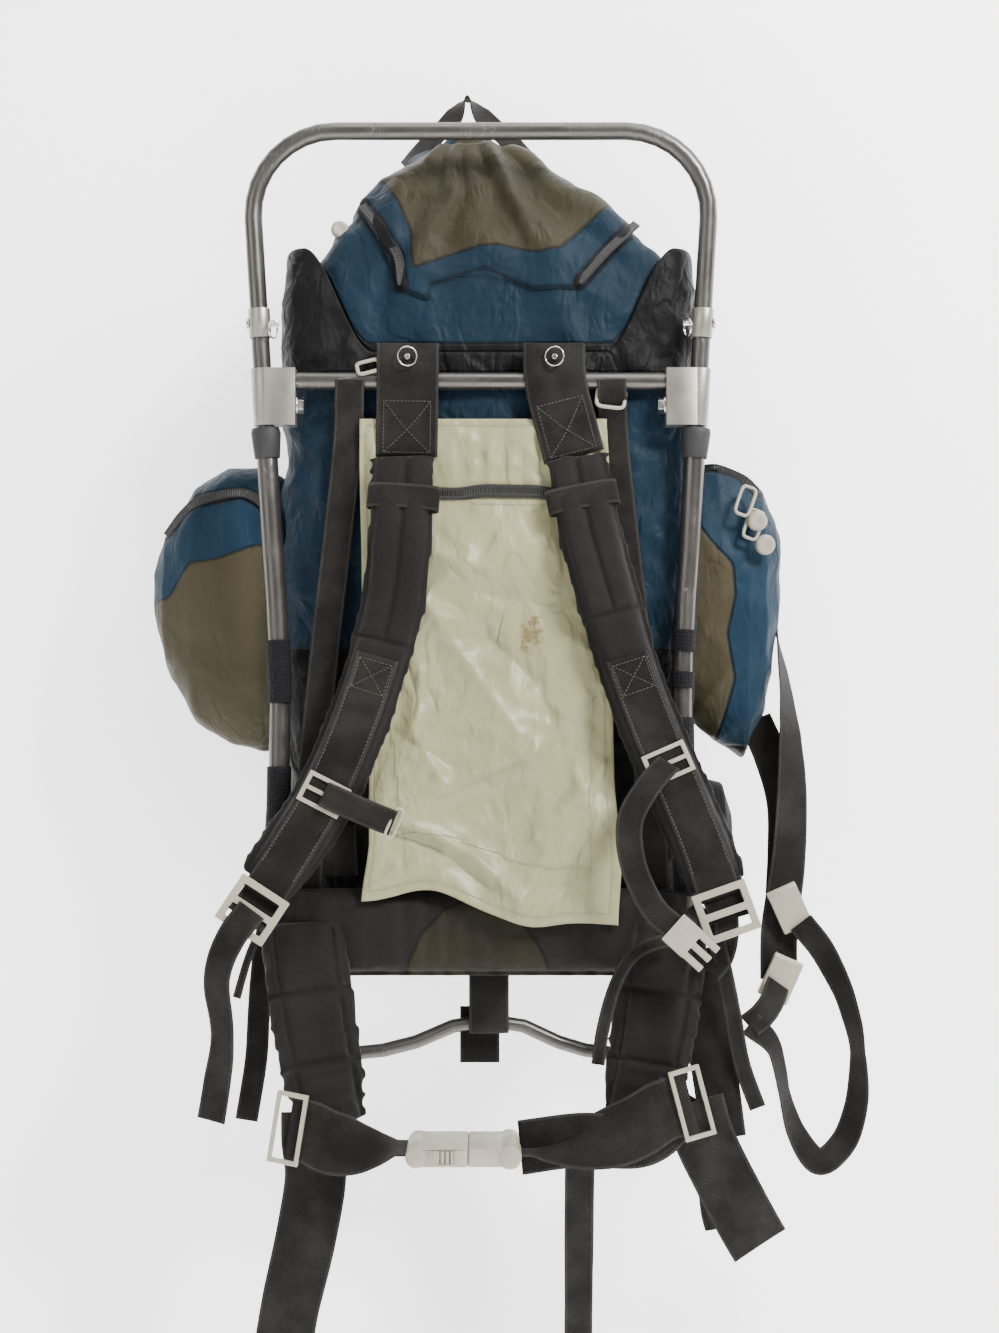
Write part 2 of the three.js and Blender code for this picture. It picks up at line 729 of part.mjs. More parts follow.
// Shoulder pads: shares of PAD_DROP, the spread and PAD_FORE
const PAD_ROWS_LEFT = [
  { down: 0, side: 0, fore: 0, wide: 0.86, full: 0.34, turn: 0 },
  { down: 0.07, side: 0.01, fore: 0.22, wide: 0.95, full: 0.75, turn: 0 },
  { down: 0.18, side: 0.035, fore: 0.36, wide: 1.02, full: 1, turn: 0 },
  { down: 0.34, side: 0.09, fore: 0.45, wide: 1.04, full: 1, turn: 2 },
  { down: 0.47, side: 0.19, fore: 0.53, wide: 1, full: 0.95, turn: 4 },
  { down: 0.64, side: 0.37, fore: 0.62, wide: 1.02, full: 1, turn: 6 },
  { down: 0.79, side: 0.58, fore: 0.72, wide: 1.03, full: 1, turn: 6 },
  { down: 0.9, side: 0.79, fore: 0.86, wide: 0.98, full: 0.95, turn: 4 },
  { down: 1, side: 1, fore: 1, wide: 0.86, full: 0.75, turn: 0 },
];

const PAD_ROWS_RIGHT = PAD_ROWS_LEFT.map((row, index) => ({
  ...row,
  side: [0, 0.04, 0.11, 0.25, 0.36, 0.55, 0.75, 0.89, 1][index],
  turn: -row.turn,
}));

const pads = {};

function padRoot(side, lean) {
  return framePoint(side + lean, CROSSBAR_DROP + YOKE_FOOT + PAD_ROOT_SEAM, PAD_ROOT_FORE);
}

function makePad(word, root, spread, rows) {
  const points = rows.map((row) => new THREE.Vector3(
    root.x + spread * row.side,
    root.y - PAD_FORE * row.fore,
    root.z - PAD_DROP * row.down,
  ));
  const found = stations({ points, rows, steps: 2, width: PAD_WIDTH, thick: PAD_THICK });
  add(`shoulder_pad_${word}`, sweep(found, PADDED), 'pad');
  pads[word] = found;
}

// A station on a pad's front face, lifted by the given height
function onPad(word, share, lift) {
  const found = pads[word];
  const station = found[Math.round(share * (found.length - 1))];
  return {
    ...station,
    at: station.at.clone().addScaledVector(station.out, station.thick / 2 + lift),
    along: new THREE.Vector3().crossVectors(station.out, station.side).normalize(),
  };
}

function padEnd(word, beyond, lift = 0) {
  const end = onPad(word, 1, lift);
  return end.at.clone().addScaledVector(end.along, beyond);
}

function makeAdjuster(word) {
  const stations = pads[word];
  const first = Math.round(ADJUSTER_START * (stations.length - 1));
  const lift = GAP * 2 + WEB / 2;
  const found = stations.slice(first).map((station) => ({
    ...station,
    at: station.at.clone().addScaledVector(station.out, station.thick / 2 + lift),
    width: ADJUSTER_WEB,
    thick: WEB,
  }));
  const last = found.at(-1);
  found.push({ ...last, at: padEnd(word, LOCK_REACH - LOCK_HEIGHT / 2 + LOCK_BAR + 2, lift) });
  add(`adjuster_web_${word}`, sweep(found, FLAT), 'webbing');
}

// Frame buckles: a flat ring with one or two slots

function slotted(width, height, thick, bar, slots) {
  const shape = new THREE.Shape()
    .moveTo(-width / 2, -height / 2)
    .lineTo(width / 2, -height / 2)
    .lineTo(width / 2, height / 2)
    .lineTo(-width / 2, height / 2)
    .closePath();
  const open = (height - bar * (slots + 1)) / slots;
  for (let i = 0; i < slots; i += 1) {
    const low = -height / 2 + bar + i * (open + bar);
    shape.holes.push(new THREE.Path()
      .moveTo(-width / 2 + bar, low)
      .lineTo(width / 2 - bar, low)
      .lineTo(width / 2 - bar, low + open)
      .lineTo(-width / 2 + bar, low + open)
      .closePath());
  }
  return new THREE.ExtrudeGeometry(shape, { depth: thick, bevelEnabled: false }).translate(0, 0, -thick / 2);
}

// Turns a flat piece so that its face looks along out and its width runs along side
function lay(mesh, at, side, out) {
  const up = new THREE.Vector3().crossVectors(out, side);
  mesh.quaternion.setFromRotationMatrix(new THREE.Matrix4().makeBasis(side, up, out));
  mesh.position.copy(at);
}

const BUCKLE_BAR = 3.5;

function makeSlider(word, share) {
  const spot = onPad(word, share, GAP * 3 + WEB + SLIDER_RIDE + SLIDER_THICK / 2);
  const mesh = add(`sternum_slider_${word}`,
    slotted(SLIDER_WIDTH, SLIDER_HEIGHT, SLIDER_THICK, BUCKLE_BAR, 2), 'plastic');
  lay(mesh, spot.at, spot.side, spot.out);
  return spot;
}

function makeLock(word) {
  const end = onPad(word, 1, 0);
  const lift = GAP * 3 + WEB + LOCK_THICK / 2;
  const mesh = add(`ladder_lock_${word}`, slotted(LOCK_WIDTH, LOCK_HEIGHT, LOCK_THICK, LOCK_BAR, 2), 'plastic');
  const at = padEnd(word, LOCK_REACH, lift);
  lay(mesh, at, end.side, end.out);
  return { ...end, at };
}

// Free and joining straps of the shoulder harness

const LOWER_LEFT_ROWS = [
  { down: 0, side: 0, fore: 0 },
  { down: 0.12, side: -0.09, fore: 0.03, turn: 12 },
  { down: 0.3, side: -0.16, fore: 0.02, turn: 24 },
  { down: 0.6, side: -0.14, fore: -0.02, turn: 34 },
  { down: 0.82, side: -0.17, fore: -0.05, turn: 20 },
  { down: 1, side: -0.2, fore: -0.06, turn: 16 },
];

const STERNUM_LEFT_ROWS = [
  { down: 0, side: 0, fore: 0, turn: -20 },
  { down: 0.2, side: 0.45, fore: 0.02, turn: 5 },
  { down: 0.42, side: 1, fore: 0.04, turn: -8 },
];

const STERNUM_RIGHT_ROWS = [
  { down: 0, side: 0, fore: 0, turn: 30 },
  { down: 0.15, side: -0.14, fore: 0.07, turn: 24 },
  { down: 0.34, side: -0.24, fore: 0.12, turn: 8 },
  { down: 0.6, side: -0.22, fore: 0.16, turn: -6 },
  { down: 0.85, side: -0.1, fore: 0.2, turn: -10 },
  { down: 0.94, side: 0.0, fore: 0.22, turn: -10 },
];

const LOWER_RIGHT_ROWS = [
  { side: 0, fore: 0, down: 0, turn: 0 },
  { side: 0.02, fore: -0.08, down: 0.3, turn: 10 },
  { side: -0.04, fore: -0.16, down: 0.62, turn: 24 },
  { side: -0.2, fore: -0.16, down: 0.84, turn: 34 },
];

function makeHarnessStraps(locks, sliders) {
  const off = (spot, lift) => spot.at.clone().addScaledVector(spot.out, lift);
  strap('lower_strap_left', {
    points: hanging(off(locks.left, LOCK_THICK / 2 + GAP + WEB), LOWER_STRAP_LEFT, LOWER_LEFT_ROWS),
    rows: LOWER_LEFT_ROWS,
    width: NARROW_WEB,
  });
  strap('lower_strap_right', {
    points: hanging(off(locks.right, -LOCK_THICK / 2 - GAP - WEB), LOWER_STRAP_RIGHT, LOWER_RIGHT_ROWS),
    rows: LOWER_RIGHT_ROWS,
    width: NARROW_WEB * 0.8,
  });
  const onSlider = SLIDER_THICK / 2 + GAP + WEB;
  strap('sternum_strap_left', {
    points: hanging(off(sliders.left, onSlider + STERNUM_LIFT_LEFT), STERNUM_LEFT, STERNUM_LEFT_ROWS),
    rows: STERNUM_LEFT_ROWS,
    width: STERNUM_WEB,
    across: new THREE.Vector3(0, 0, 1),
  });
  const hang = strap('sternum_strap_right', {
    points: hanging(off(sliders.right, onSlider + STERNUM_LIFT_RIGHT), STERNUM_RIGHT, STERNUM_RIGHT_ROWS),
    rows: STERNUM_RIGHT_ROWS,
    width: STERNUM_WEB,
  });
  const end = hang.at(-1);
  const along = new THREE.Vector3().crossVectors(end.out, end.side);
  const buckle = add('sternum_buckle', sternumBuckle(), 'plastic');
  lay(buckle, end.at.clone().addScaledVector(along, GAP), end.side, end.out);
}

// A plug with a body and two prongs, laid out downwards from its strap end
function sternumBuckle() {
  const body = STERNUM_BUCKLE * 0.55;
  const prong = STERNUM_BUCKLE_WIDTH / 5;
  const reach = STERNUM_BUCKLE - body;
  const at = (x, y) => new THREE.Vector3(x, y, 0);
  return toGeometry(join([
    new THREE.BoxGeometry(STERNUM_BUCKLE_WIDTH, body, STERNUM_BUCKLE_THICK).translate(0, body / 2, 0),
    ...[-1, 0, 1].map((side) => new THREE.BoxGeometry(prong, reach + 2, STERNUM_BUCKLE_THICK * 0.6)
      .translate(...at(side * prong * 1.9, body + reach / 2 - 1).toArray())),
  ]));
}

// Back panel: a hanging sheet with folds. Rows give its fore from the frame's plane,
// as shares of PANEL_LENGTH down, and its edges as shares of the half widths
const PANEL_ROWS = [
  { down: 0, fore: 4.6, left: 1, right: 1, fold: 0 },
  { down: 0.11, fore: 4.6, left: 1, right: 1.02, fold: 0 },
  { down: 0.3, fore: 12, left: 0.98, right: 1.03, fold: 0.6 },
  { down: 0.5, fore: 16, left: 0.96, right: 1.04, fold: 0.8 },
  { down: 0.72, fore: 24, left: 0.91, right: 1.05, fold: 1 },
  { down: 0.88, fore: 36, left: 0.9, right: 1.1, fold: 1 },
  { down: 1, fore: 47, left: 0.96, right: 1.07, fold: 0.8 },
];

const PANEL_FOLD_TILT = 2.4;
const PANEL_FOLD_WAVES = 2.2;

function panelFore(down, across, withFolds = true) {
  let low = 0;
  while (low < PANEL_ROWS.length - 2 && down > PANEL_ROWS[low + 1].down) low += 1;
  const [a, b] = [PANEL_ROWS[low], PANEL_ROWS[low + 1]];
  const share = (down - a.down) / (b.down - a.down);
  const wave = Math.sin((down * PANEL_FOLD_TILT + across) * Math.PI * PANEL_FOLD_WAVES);
  const fold = withFolds ? PANEL_FOLD * lerp(a.fold, b.fold, share) * wave : 0;
  return {
    fore: lerp(a.fore, b.fore, share) + fold,
    left: PANEL_LEFT * lerp(a.left, b.left, share),
    right: PANEL_RIGHT * lerp(a.right, b.right, share),
  };
}

function makePanel() {
  const columns = 8;
  const rows = 12;
  const slant = 0.045; // the right corner hangs lower
  const faces = [0.5, -0.5].map((layer) => {
    const grid = [];
    for (let r = 0; r <= rows; r += 1) {
      for (let c = 0; c <= columns; c += 1) {
        const across = c / columns;
        const down = r / rows;
        const { fore, left, right } = panelFore(down, across);
        const drop = PANEL_LENGTH * down * (1 + slant * (across - 0.5));
        grid.push(framePoint(lerp(-left, right, across), PANEL_DROP + drop, fore + layer * PANEL_CLOTH));
      }
    }
    return grid;
  });
  add('back_panel', slab(faces, columns, rows), 'panel');
}

// Two grids of points closed along their edges
function slab(layers, columns, rows) {
  const count = layers[0].length;
  const points = [...layers[0], ...layers[1]];
  const faces = [];
  const at = (r, c) => r * (columns + 1) + c;
  const quad = (a, b, c, d) => faces.push(a, b, c, a, c, d);
  for (let r = 0; r < rows; r += 1) {
    for (let c = 0; c < columns; c += 1) {
      quad(at(r, c), at(r + 1, c), at(r + 1, c + 1), at(r, c + 1));
      quad(count + at(r, c), count + at(r, c + 1), count + at(r + 1, c + 1), count + at(r + 1, c));
    }
  }
  const edge = [];
  for (let c = 0; c < columns; c += 1) edge.push(at(0, c));
  for (let r = 0; r < rows; r += 1) edge.push(at(r, columns));
  for (let c = columns; c > 0; c -= 1) edge.push(at(rows, c));
  for (let r = rows; r > 0; r -= 1) edge.push(at(r, 0));
  edge.forEach((a, i) => {
    const b = edge[(i + 1) % edge.length];
    quad(a, b, count + b, count + a);
  });
  return closed(points, faces);
}

// Webs beside the panel, from the crossbar to the lumbar pad's back
function makeBackWeb(word, side) {
  const rows = [
    { down: -0.08, spread: 0 },
    { down: -0.055, spread: 0.01 },
    { down: 0.0, spread: 0.04 },
    { down: 0.08, spread: 0.1 },
    { down: 0.25, spread: 0.3 },
    { down: 0.5, spread: 0.6 },
    { down: 0.75, spread: 0.85 },
    { down: 0.93, spread: 0.97 },
    { down: 1.03, spread: 1 },
  ];
  const length = LUMBAR_DROP - LUMBAR_HEIGHT / 2 - PANEL_DROP;
  const onBar = CROSSBAR_TUBE / 2 + GAP + WEB / 2;
  const atPad = FRAME_Y - LUMBAR_BACK - GAP - WEB / 2;
  const points = rows.map((row, index) => {
    const down = PANEL_DROP + length * row.down;
    const behind = panelFore(Math.max(0, row.down * length / PANEL_LENGTH), 0, false).fore - BACK_WEB_BEHIND;
    let fore = Math.min(Math.max(behind, 0), atPad);
    if (index < 2) fore = onBar + index;
    if (index >= rows.length - 2) fore = atPad;
    return framePoint(side * (BACK_WEB_SIDE + BACK_WEB_SPREAD * row.spread), down, fore);
  });
  points[0].z = -CROSSBAR_DROP;
  strap(`back_web_${word}`, { points, rows, width: NARROW_WEB, steps: 2 });
}

// Lumbar pad with pinched gathers along its length
function makeLumbar() {
  const count = 14;
  const found = [];
  for (let i = 0; i <= count; i += 1) {
    const share = i / count;
    const end = Math.min(1, 6 * Math.min(share, 1 - share) + 0.35);
    found.push({
      at: new THREE.Vector3(lerp(-LUMBAR_HALF, LUMBAR_HALF, share), LUMBAR_Y, -LUMBAR_DROP),
      side: new THREE.Vector3(0, 0, 1),
      out: FRONT,
      width: LUMBAR_HEIGHT * lerp(0.86, 1, end),
      thick: LUMBAR_THICK * end * (i % 2 ? 0.9 : 1),
    });
  }
  const section = PADDED.map(([u, v]) => [u, v * (Math.abs(u) < 0.3 && v > 0 ? 1 : 0.96)]);
  add('lumbar_pad', sweep(found, section), 'pad');
}

// Belt wings hang down from the lumbar pad's ends: shares of WING_LENGTH
const WING_ROWS = [
  { down: 0, in: 0, fore: 0, wide: 0.8, full: 0.6, turn: 0 },
  { down: 0.12, in: 0.01, fore: 0.02, wide: 0.96, full: 1, turn: 3 },
  { down: 0.32, in: 0.04, fore: 0.06, wide: 1, full: 1, turn: 8 },
  { down: 0.55, in: 0.08, fore: 0.12, wide: 0.98, full: 0.94, turn: 14 },
  { down: 0.78, in: 0.13, fore: 0.2, wide: 0.9, full: 0.86, turn: 20 },
  { down: 1, in: 0.19, fore: 0.27, wide: 0.68, full: 0.6, turn: 24 },
];

const wings = {};

function makeWing(word, side, root, seat) {
  const top = new THREE.Vector3(side * root, LUMBAR_FRONT + seat - GAP - WING_THICK / 2, WING_ROOT_RISE - LUMBAR_DROP);
  const points = WING_ROWS.map((row) => new THREE.Vector3(
    top.x - side * WING_LENGTH * row.in,
    top.y - WING_LENGTH * row.fore,
    top.z - WING_LENGTH * row.down,
  ));
  const rows = WING_ROWS.map((row) => ({ ...row, turn: side * row.turn }));
  const found = stations({ points, rows, steps: 2, width: WING_WIDTH, thick: WING_THICK });
  add(`belt_wing_${word}`, sweep(found, PADDED), 'pad');
  wings[word] = found.at(-1);
}

// Waist buckle

function buckleEnd(side) {
  const length = side < 0 ? SOCKET_LENGTH : PLUG_LENGTH;
  return new THREE.Vector3(BUCKLE_SIDE + side * length, FRAME_Y - BUCKLE_FORE, -BUCKLE_DROP);
}

function makeBuckle() {
  const at = (x, y = 0, z = 0) => new THREE.Vector3(BUCKLE_SIDE + x, FRAME_Y - BUCKLE_FORE + y, z - BUCKLE_DROP);
  const slotHeight = WEB + 2 * GAP + 0.4;
  const mouth = (side, length) => block(BUCKLE_MOUTH * 2, WIDE_WEB + 2, slotHeight, at(side * length));
  const cavityHeight = BUCKLE_HEIGHT - 2 * BUCKLE_WALL;
  const cavityWidth = BUCKLE_WIDTH - 2 * BUCKLE_WALL;
  const cavity = PRONG_LENGTH + 2;
  add('belt_socket', cut(
    block(SOCKET_LENGTH, BUCKLE_WIDTH, BUCKLE_HEIGHT, at(-SOCKET_LENGTH / 2)),
    [
      block(cavity * 2, cavityWidth, cavityHeight, at(0)),
      mouth(-1, SOCKET_LENGTH),
      ...[-1, 1].map((side) => block(14, BUCKLE_WALL * 3, cavityHeight, at(-18, side * BUCKLE_WIDTH / 2))),
    ],
  ), 'plastic');
  const prong = (y, width) => block(PRONG_LENGTH + 4, width, cavityHeight - 2 * GAP - 1, at(-PRONG_LENGTH / 2 + 2, y));
  const body = join([
    block(PLUG_LENGTH - GAP, BUCKLE_WIDTH, BUCKLE_HEIGHT, at((PLUG_LENGTH + GAP) / 2)),
    prong(-cavityWidth / 2 + 6, 9),
    prong(0, 12),
    prong(cavityWidth / 2 - 6, 9),
  ]);
  add('belt_plug', cut(body, [mouth(1, PLUG_LENGTH)]), 'plastic');
}

// Belt webs run from the wing tips to the buckle and lie flat where they enter it
const BELT_ROWS = [
  { along: 0, turn: 0 },
  { along: 0.18, fore: 0, turn: 0 },
  { along: 0.34, fore: 0.03, down: 0.04, turn: 6 },
  { along: 0.55, fore: 0.06, down: 0.06, turn: 36 },
  { along: 0.8, fore: 0.03, down: 0.04, turn: 66 },
  { along: 1, turn: 90 },
];

const belt = {};

function makeBeltWeb(word, side, wing, out, up) {
  const outside = new THREE.Vector3(side, 0, 0);
  const mouth = buckleEnd(side);
  const seat = mouth.clone().addScaledVector(outside, -(BUCKLE_MOUTH - GAP * 2));
  const entry = mouth.clone().addScaledVector(outside, BUCKLE_ENTRY);
  const start = wing.at.clone().add(new THREE.Vector3(side * out, -BELT_AHEAD, up));
  const rows = [...BELT_ROWS.map((row) => ({ ...row, turn: side * row.turn })), { turn: side * 90 }, { turn: side * 90 }];
  const points = [
    ...spanning(start, entry, BELT_ROWS),
    mouth.clone().addScaledVector(outside, 1),
    seat,
  ];
  belt[word] = strap(`belt_web_${word}`, { points, rows, width: WIDE_WEB });
}

function makeGlide(word, ride) {
  const station = belt[word][0];
  const room = WEB / 2 + ride + GLIDE_THICK / 2;
  const at = station.at.clone().addScaledVector(station.out, room);
  const mesh = add(`belt_glide_${word}`, slotted(GLIDE_WIDTH, GLIDE_HEIGHT, GLIDE_THICK, BUCKLE_BAR, 1), 'plastic');
  const along = new THREE.Vector3().crossVectors(station.out, station.side);
  lay(mesh, at, along, station.out);
}

// Belt tails: shares of each tail's length
const TAIL_LEFT_ROWS = [
  { down: 0, side: 0, fore: 0, turn: 0 },
  { down: 0.09, side: 0.0, fore: -0.01, turn: 0 },
  { down: 0.2, side: 0.01, fore: -0.02, turn: -8 },
  { down: 0.4, side: -0.02, fore: -0.02, turn: 4 },
  { down: 0.62, side: -0.07, fore: -0.02, turn: 16 },
  { down: 0.8, side: -0.1, fore: -0.03, turn: 14 },
  { down: 1, side: -0.13, fore: -0.05, turn: 20 },
];

const TAIL_RIGHT_ROWS = [
  { down: 0, side: 0, fore: 0, turn: 0 },
  { down: 0.2, side: 0.06, fore: -0.02, turn: 6 },
  { down: 0.45, side: 0.18, fore: -0.06, turn: 8 },
  { down: 0.72, side: 0.32, fore: -0.08, turn: -4 },
  { down: 0.86, side: 0.4, fore: -0.1, turn: -8 },
];

const TAIL_MIDDLE_ROWS = [
  { down: 0, side: 0, fore: 0, turn: 0 },
  { down: 0.2, side: 0, fore: -0.05, turn: 10 },
  { down: 0.5, side: 0, fore: -0.12, turn: -12 },
  { down: 0.8, side: 0, fore: -0.16, turn: -20 },
  { down: 1, side: 0.005, fore: -0.18, turn: -10 },
];

function makeTails() {
  const behind = (station, lift, x, z) => station.at.clone()
    .addScaledVector(station.out, -WEB - GAP - lift)
    .add(new THREE.Vector3(x, 0, z));
  strap('belt_tail_left', {
    points: hanging(behind(belt.left[0], 0.4, TAIL_INSET, TAIL_RISE), TAIL_LEFT, TAIL_LEFT_ROWS),
    rows: TAIL_LEFT_ROWS,
    width: WIDE_WEB,
  });
  strap('belt_tail_right', {
    points: hanging(behind(belt.right[0], 0, 2, 0), TAIL_RIGHT, TAIL_RIGHT_ROWS),
    rows: TAIL_RIGHT_ROWS,
    width: WIDE_WEB,
  });
  const middle = belt.right[Math.round(belt.right.length * TAIL_MIDDLE_PLACE)];
  strap('belt_tail_middle', {
    points: hanging(behind(middle, TAIL_MIDDLE_LIFT, 0, 8), TAIL_MIDDLE, TAIL_MIDDLE_ROWS),
    rows: TAIL_MIDDLE_ROWS,
    width: TAIL_MIDDLE_WEB,
  });
}

// Strap from the lumbar pad, round the lower loop and up to the bag
function makeBottomStrap() {
  const half = railPoints(1).at(-1).x;
  const x = half * BOTTOM_STRAP_SIDE;
  const barDown = lowerBarDown(1);
  const barFore = RAIL_BOW * RAIL_ROWS.at(-1).bow;
  const wrap = LOWER_TUBE / 2 + GAP + WEB / 2;
  const under = barDown + wrap + BOTTOM_STRAP_SLACK;
  const padFore = FRAME_Y - LUMBAR_BACK - GAP - WEB / 2;
  const bagFore = FRAME_Y - BAG_FRONT + GAP + WEB / 2;
  const points = [
    framePoint(x, LUMBAR_DROP, padFore),
    framePoint(x, LUMBAR_DROP + LUMBAR_HEIGHT / 2, padFore),
    framePoint(x, barDown - LOWER_TUBE, barFore + wrap + 1),
    framePoint(x, barDown + 1, barFore + wrap + 0.6),
    framePoint(x, under, barFore + wrap * 0.5),
    framePoint(x, under, barFore - wrap * 0.5),
    framePoint(x, barDown + 1, barFore - wrap - 0.6),
    framePoint(x, barDown - LOWER_TUBE, barFore - wrap - 1),
    framePoint(x, BAG_BOTTOM + 6, bagFore + 0.6),
    framePoint(x, BAG_BOTTOM - BOTTOM_STRAP_RISE, bagFore),
  ];
  const rows = points.map(() => ({}));
  strap('bottom_strap', { points, rows, width: BOTTOM_WEB, across: ACROSS, steps: 2 });
  const tailX = x - 8;
  const back = barFore - wrap - WEB - GAP - 1.2;
  const tail = [
    framePoint(tailX, barDown - LOWER_TUBE, back - 0.6),
    framePoint(tailX, barDown + 2, back),
    framePoint(tailX, barDown + BOTTOM_TAIL, back + 2),
  ];
  strap('bottom_strap_tail', { points: tail, rows: tail.map(() => ({})), width: BOTTOM_WEB, across: ACROSS });
}

// Bag and lid

// Rounded-box outline: half sizes and the power that squares its corners
function outline(angle, half, depth, power) {
  const round = (value) => Math.sign(value) * Math.abs(value) ** (2 / power);
  return [half * round(Math.cos(angle)), depth * round(Math.sin(angle))];
}

function ease(low, high, value) {
  const share = Math.min(1, Math.max(0, (value - low) / (high - low)));
  return share * share * (3 - 2 * share);
}

// Height of the rim above the front rim, at a place given as shares of the half sizes
function rimRise(across, back) {
  const side = Math.abs(across);
  const rear = ease(-0.85, -0.3, back);
  const ear = ease(0.56, 0.9, side) * (1 - rear);
  const flank = ease(0.75, 0.95, side) * rear * (1 - ease(0.62, 0.9, back));
  return EAR_RISE * ear + SIDE_RISE * flank;
}

// Bag rows: shares of the height from the rim, the half width and the half depth
const BAG_ROWS = [
  { down: 0, wide: 0.985, deep: 0.97, fold: 0.3 },
  { down: 0.1, wide: 1, deep: 1.02, fold: 0.8 },
  { down: 0.27, wide: 0.985, deep: 1.09, fold: -0.8 },
  { down: 0.46, wide: 1, deep: 1.06, fold: 1 },
  { down: 0.68, wide: 0.985, deep: 1.13, fold: -0.7 },
  { down: 0.88, wide: 0.97, deep: 1.06, fold: 0.8 },
  { down: 0.97, wide: 0.94, deep: 0.97, fold: 0.3 },
  { down: 1, wide: 0.86, deep: 0.84, fold: 0 },
];

const BAG_POWER = 6;
const BAG_SIDES = 32;

// The front wall stays flat against the frame while the back swells
function bagPoint(angle, row, inset) {
  const half = BAG_HALF * row.wide - inset;
  const [x, y] = outline(angle, half, BAG_DEPTH / 2 - inset, BAG_POWER);
  const wave = BAG_FOLD * row.fold * Math.cos((x / half) * BAG_FOLD_WAVES);
  const back = y * row.deep + wave * ease(0.3, 0.9, y / (BAG_DEPTH / 2));
  const front = y * Math.min(1, row.deep);
  const deep = y > 0 ? back : front;
  const rise = rimRise(x / half, y / (BAG_DEPTH / 2 - inset));
  const floor = BAG_BOTTOM - inset;
  return new THREE.Vector3(BAG_MIDDLE + x, BAG_Y + deep, -lerp(BAG_RIM - rise, floor, row.down));
}

function bagRing(row, inset) {
  const ring = [];
  for (let i = 0; i < BAG_SIDES; i += 1) ring.push(bagPoint((i / BAG_SIDES) * Math.PI * 2, row, inset));
  return ring;
}

function makeBag() {
  const outer = BAG_ROWS.map((row) => bagRing(row, 0));
  const inner = BAG_ROWS.map((row) => bagRing(row, CLOTH));
  add('main_bag', wall(outer.reverse(), inner), 'blue');
}

function bagSide(side, y, down) {
  const rim = BAG_RIM - SIDE_RISE;
  const share = (down - rim) / (BAG_BOTTOM - rim);
  let low = 0;
  while (low < BAG_ROWS.length - 2 && share > BAG_ROWS[low + 1].down) low += 1;
  const [a, b] = [BAG_ROWS[low], BAG_ROWS[low + 1]];
  const wide = lerp(a.wide, b.wide, (share - a.down) / (b.down - a.down));
  const off = Math.abs((y - BAG_Y) / (BAG_DEPTH / 2)) ** BAG_POWER;
  return BAG_MIDDLE + side * BAG_HALF * wide * (1 - Math.min(off, 0.99)) ** (1 / BAG_POWER);
}

// Lid rows: shares down to the rim, of LID_HALF wide, and front and back from the bag's middle
const LID_ROWS = [
  { down: 0, wide: 0.12, front: 0.5, back: -0.2, fold: 0.6 },
  { down: 0.14, wide: 0.36, front: 0.68, back: 0.14, fold: 1 },
  { down: 0.3, wide: 0.56, front: 0.82, back: 0.45, fold: 1 },
  { down: 0.5, wide: 0.72, front: 0.92, back: 0.72, fold: 0.8 },
  { down: 0.75, wide: 0.88, front: 0.95, back: 0.92, fold: 0.5 },
  { down: 1, wide: 1, front: 0.955, back: 0.965, fold: 0 },
];

const LID_SIDES = 32;
const LID_POWER_TOP = 2.2;
const LID_POWER_RIM = 5;

function lidPoint(angle, row, inset) {
  const power = lerp(LID_POWER_TOP, LID_POWER_RIM, row.down);
  const half = LID_HALF * row.wide - inset;
  const front = BAG_DEPTH / 2 * row.front - inset;
  const back = BAG_DEPTH / 2 * row.back - inset;
  const [x, y] = outline(angle, half, 1, power);
  const ripple = 1 + (LID_FOLD * row.fold * Math.cos(angle * LID_FOLDS)) / LID_HALF;
  const across = (x / half) * (LID_HALF / BAG_HALF);
  const rim = BAG_RIM - rimRise(across, y) - LID_SEAM;
  const shift = lerp(-LOOP_OFFSET, BAG_MIDDLE + 3, row.down);
  const top = LID_TOP + inset;
  return new THREE.Vector3(
    shift + x * ripple,
    BAG_Y + lerp(-front, back, (y + 1) / 2) * (row.down === 1 ? 1 : ripple),
    -lerp(top, rim, row.down),
  );
}

function lidRing(row, inset) {
  const ring = [];
  for (let i = 0; i < LID_SIDES; i += 1) ring.push(lidPoint((i / LID_SIDES) * Math.PI * 2, row, inset));
  return ring;
}

function makeLid() {
  const outer = LID_ROWS.map((row) => lidRing(row, 0));
  const inner = LID_ROWS.map((row) => lidRing(row, CLOTH)).reverse();
  add('lid', wall(outer, inner), 'olive');
}

// Pocket rows: out as shares of the pocket's depth, top and foot of its height, deep of its half depth
const POCKET_LEFT_ROWS = [
  { out: 0, top: 0.05, foot: 0.99, deep: 1 },
  { out: 0.2, top: 0.0, foot: 1, deep: 1.03 },
  { out: 0.45, top: 0.0, foot: 0.97, deep: 1 },
  { out: 0.7, top: 0.07, foot: 0.9, deep: 0.88 },
  { out: 0.92, top: 0.23, foot: 0.7, deep: 0.58 },
  { out: 1, top: 0.36, foot: 0.52, deep: 0.22 },
];

const POCKET_RIGHT_ROWS = [
  { out: 0, top: 0.06, foot: 0.9, deep: 1 },
  { out: 0.3, top: 0.01, foot: 1, deep: 1.03 },
  { out: 0.6, top: 0.05, foot: 1.06, deep: 1 },
  { out: 0.8, top: 0.11, foot: 0.9, deep: 0.84 },
  { out: 0.94, top: 0.21, foot: 0.64, deep: 0.56 },
  { out: 1, top: 0.3, foot: 0.38, deep: 0.22 },
];

const MESH_ROWS = [
  { out: 0, top: 0, foot: 1, deep: 1 },
  { out: 0.8, top: 0.06, foot: 0.94, deep: 0.96 },
  { out: 1, top: 0.26, foot: 0.72, deep: 0.66 },
];

const POCKET_SIDES = 16;

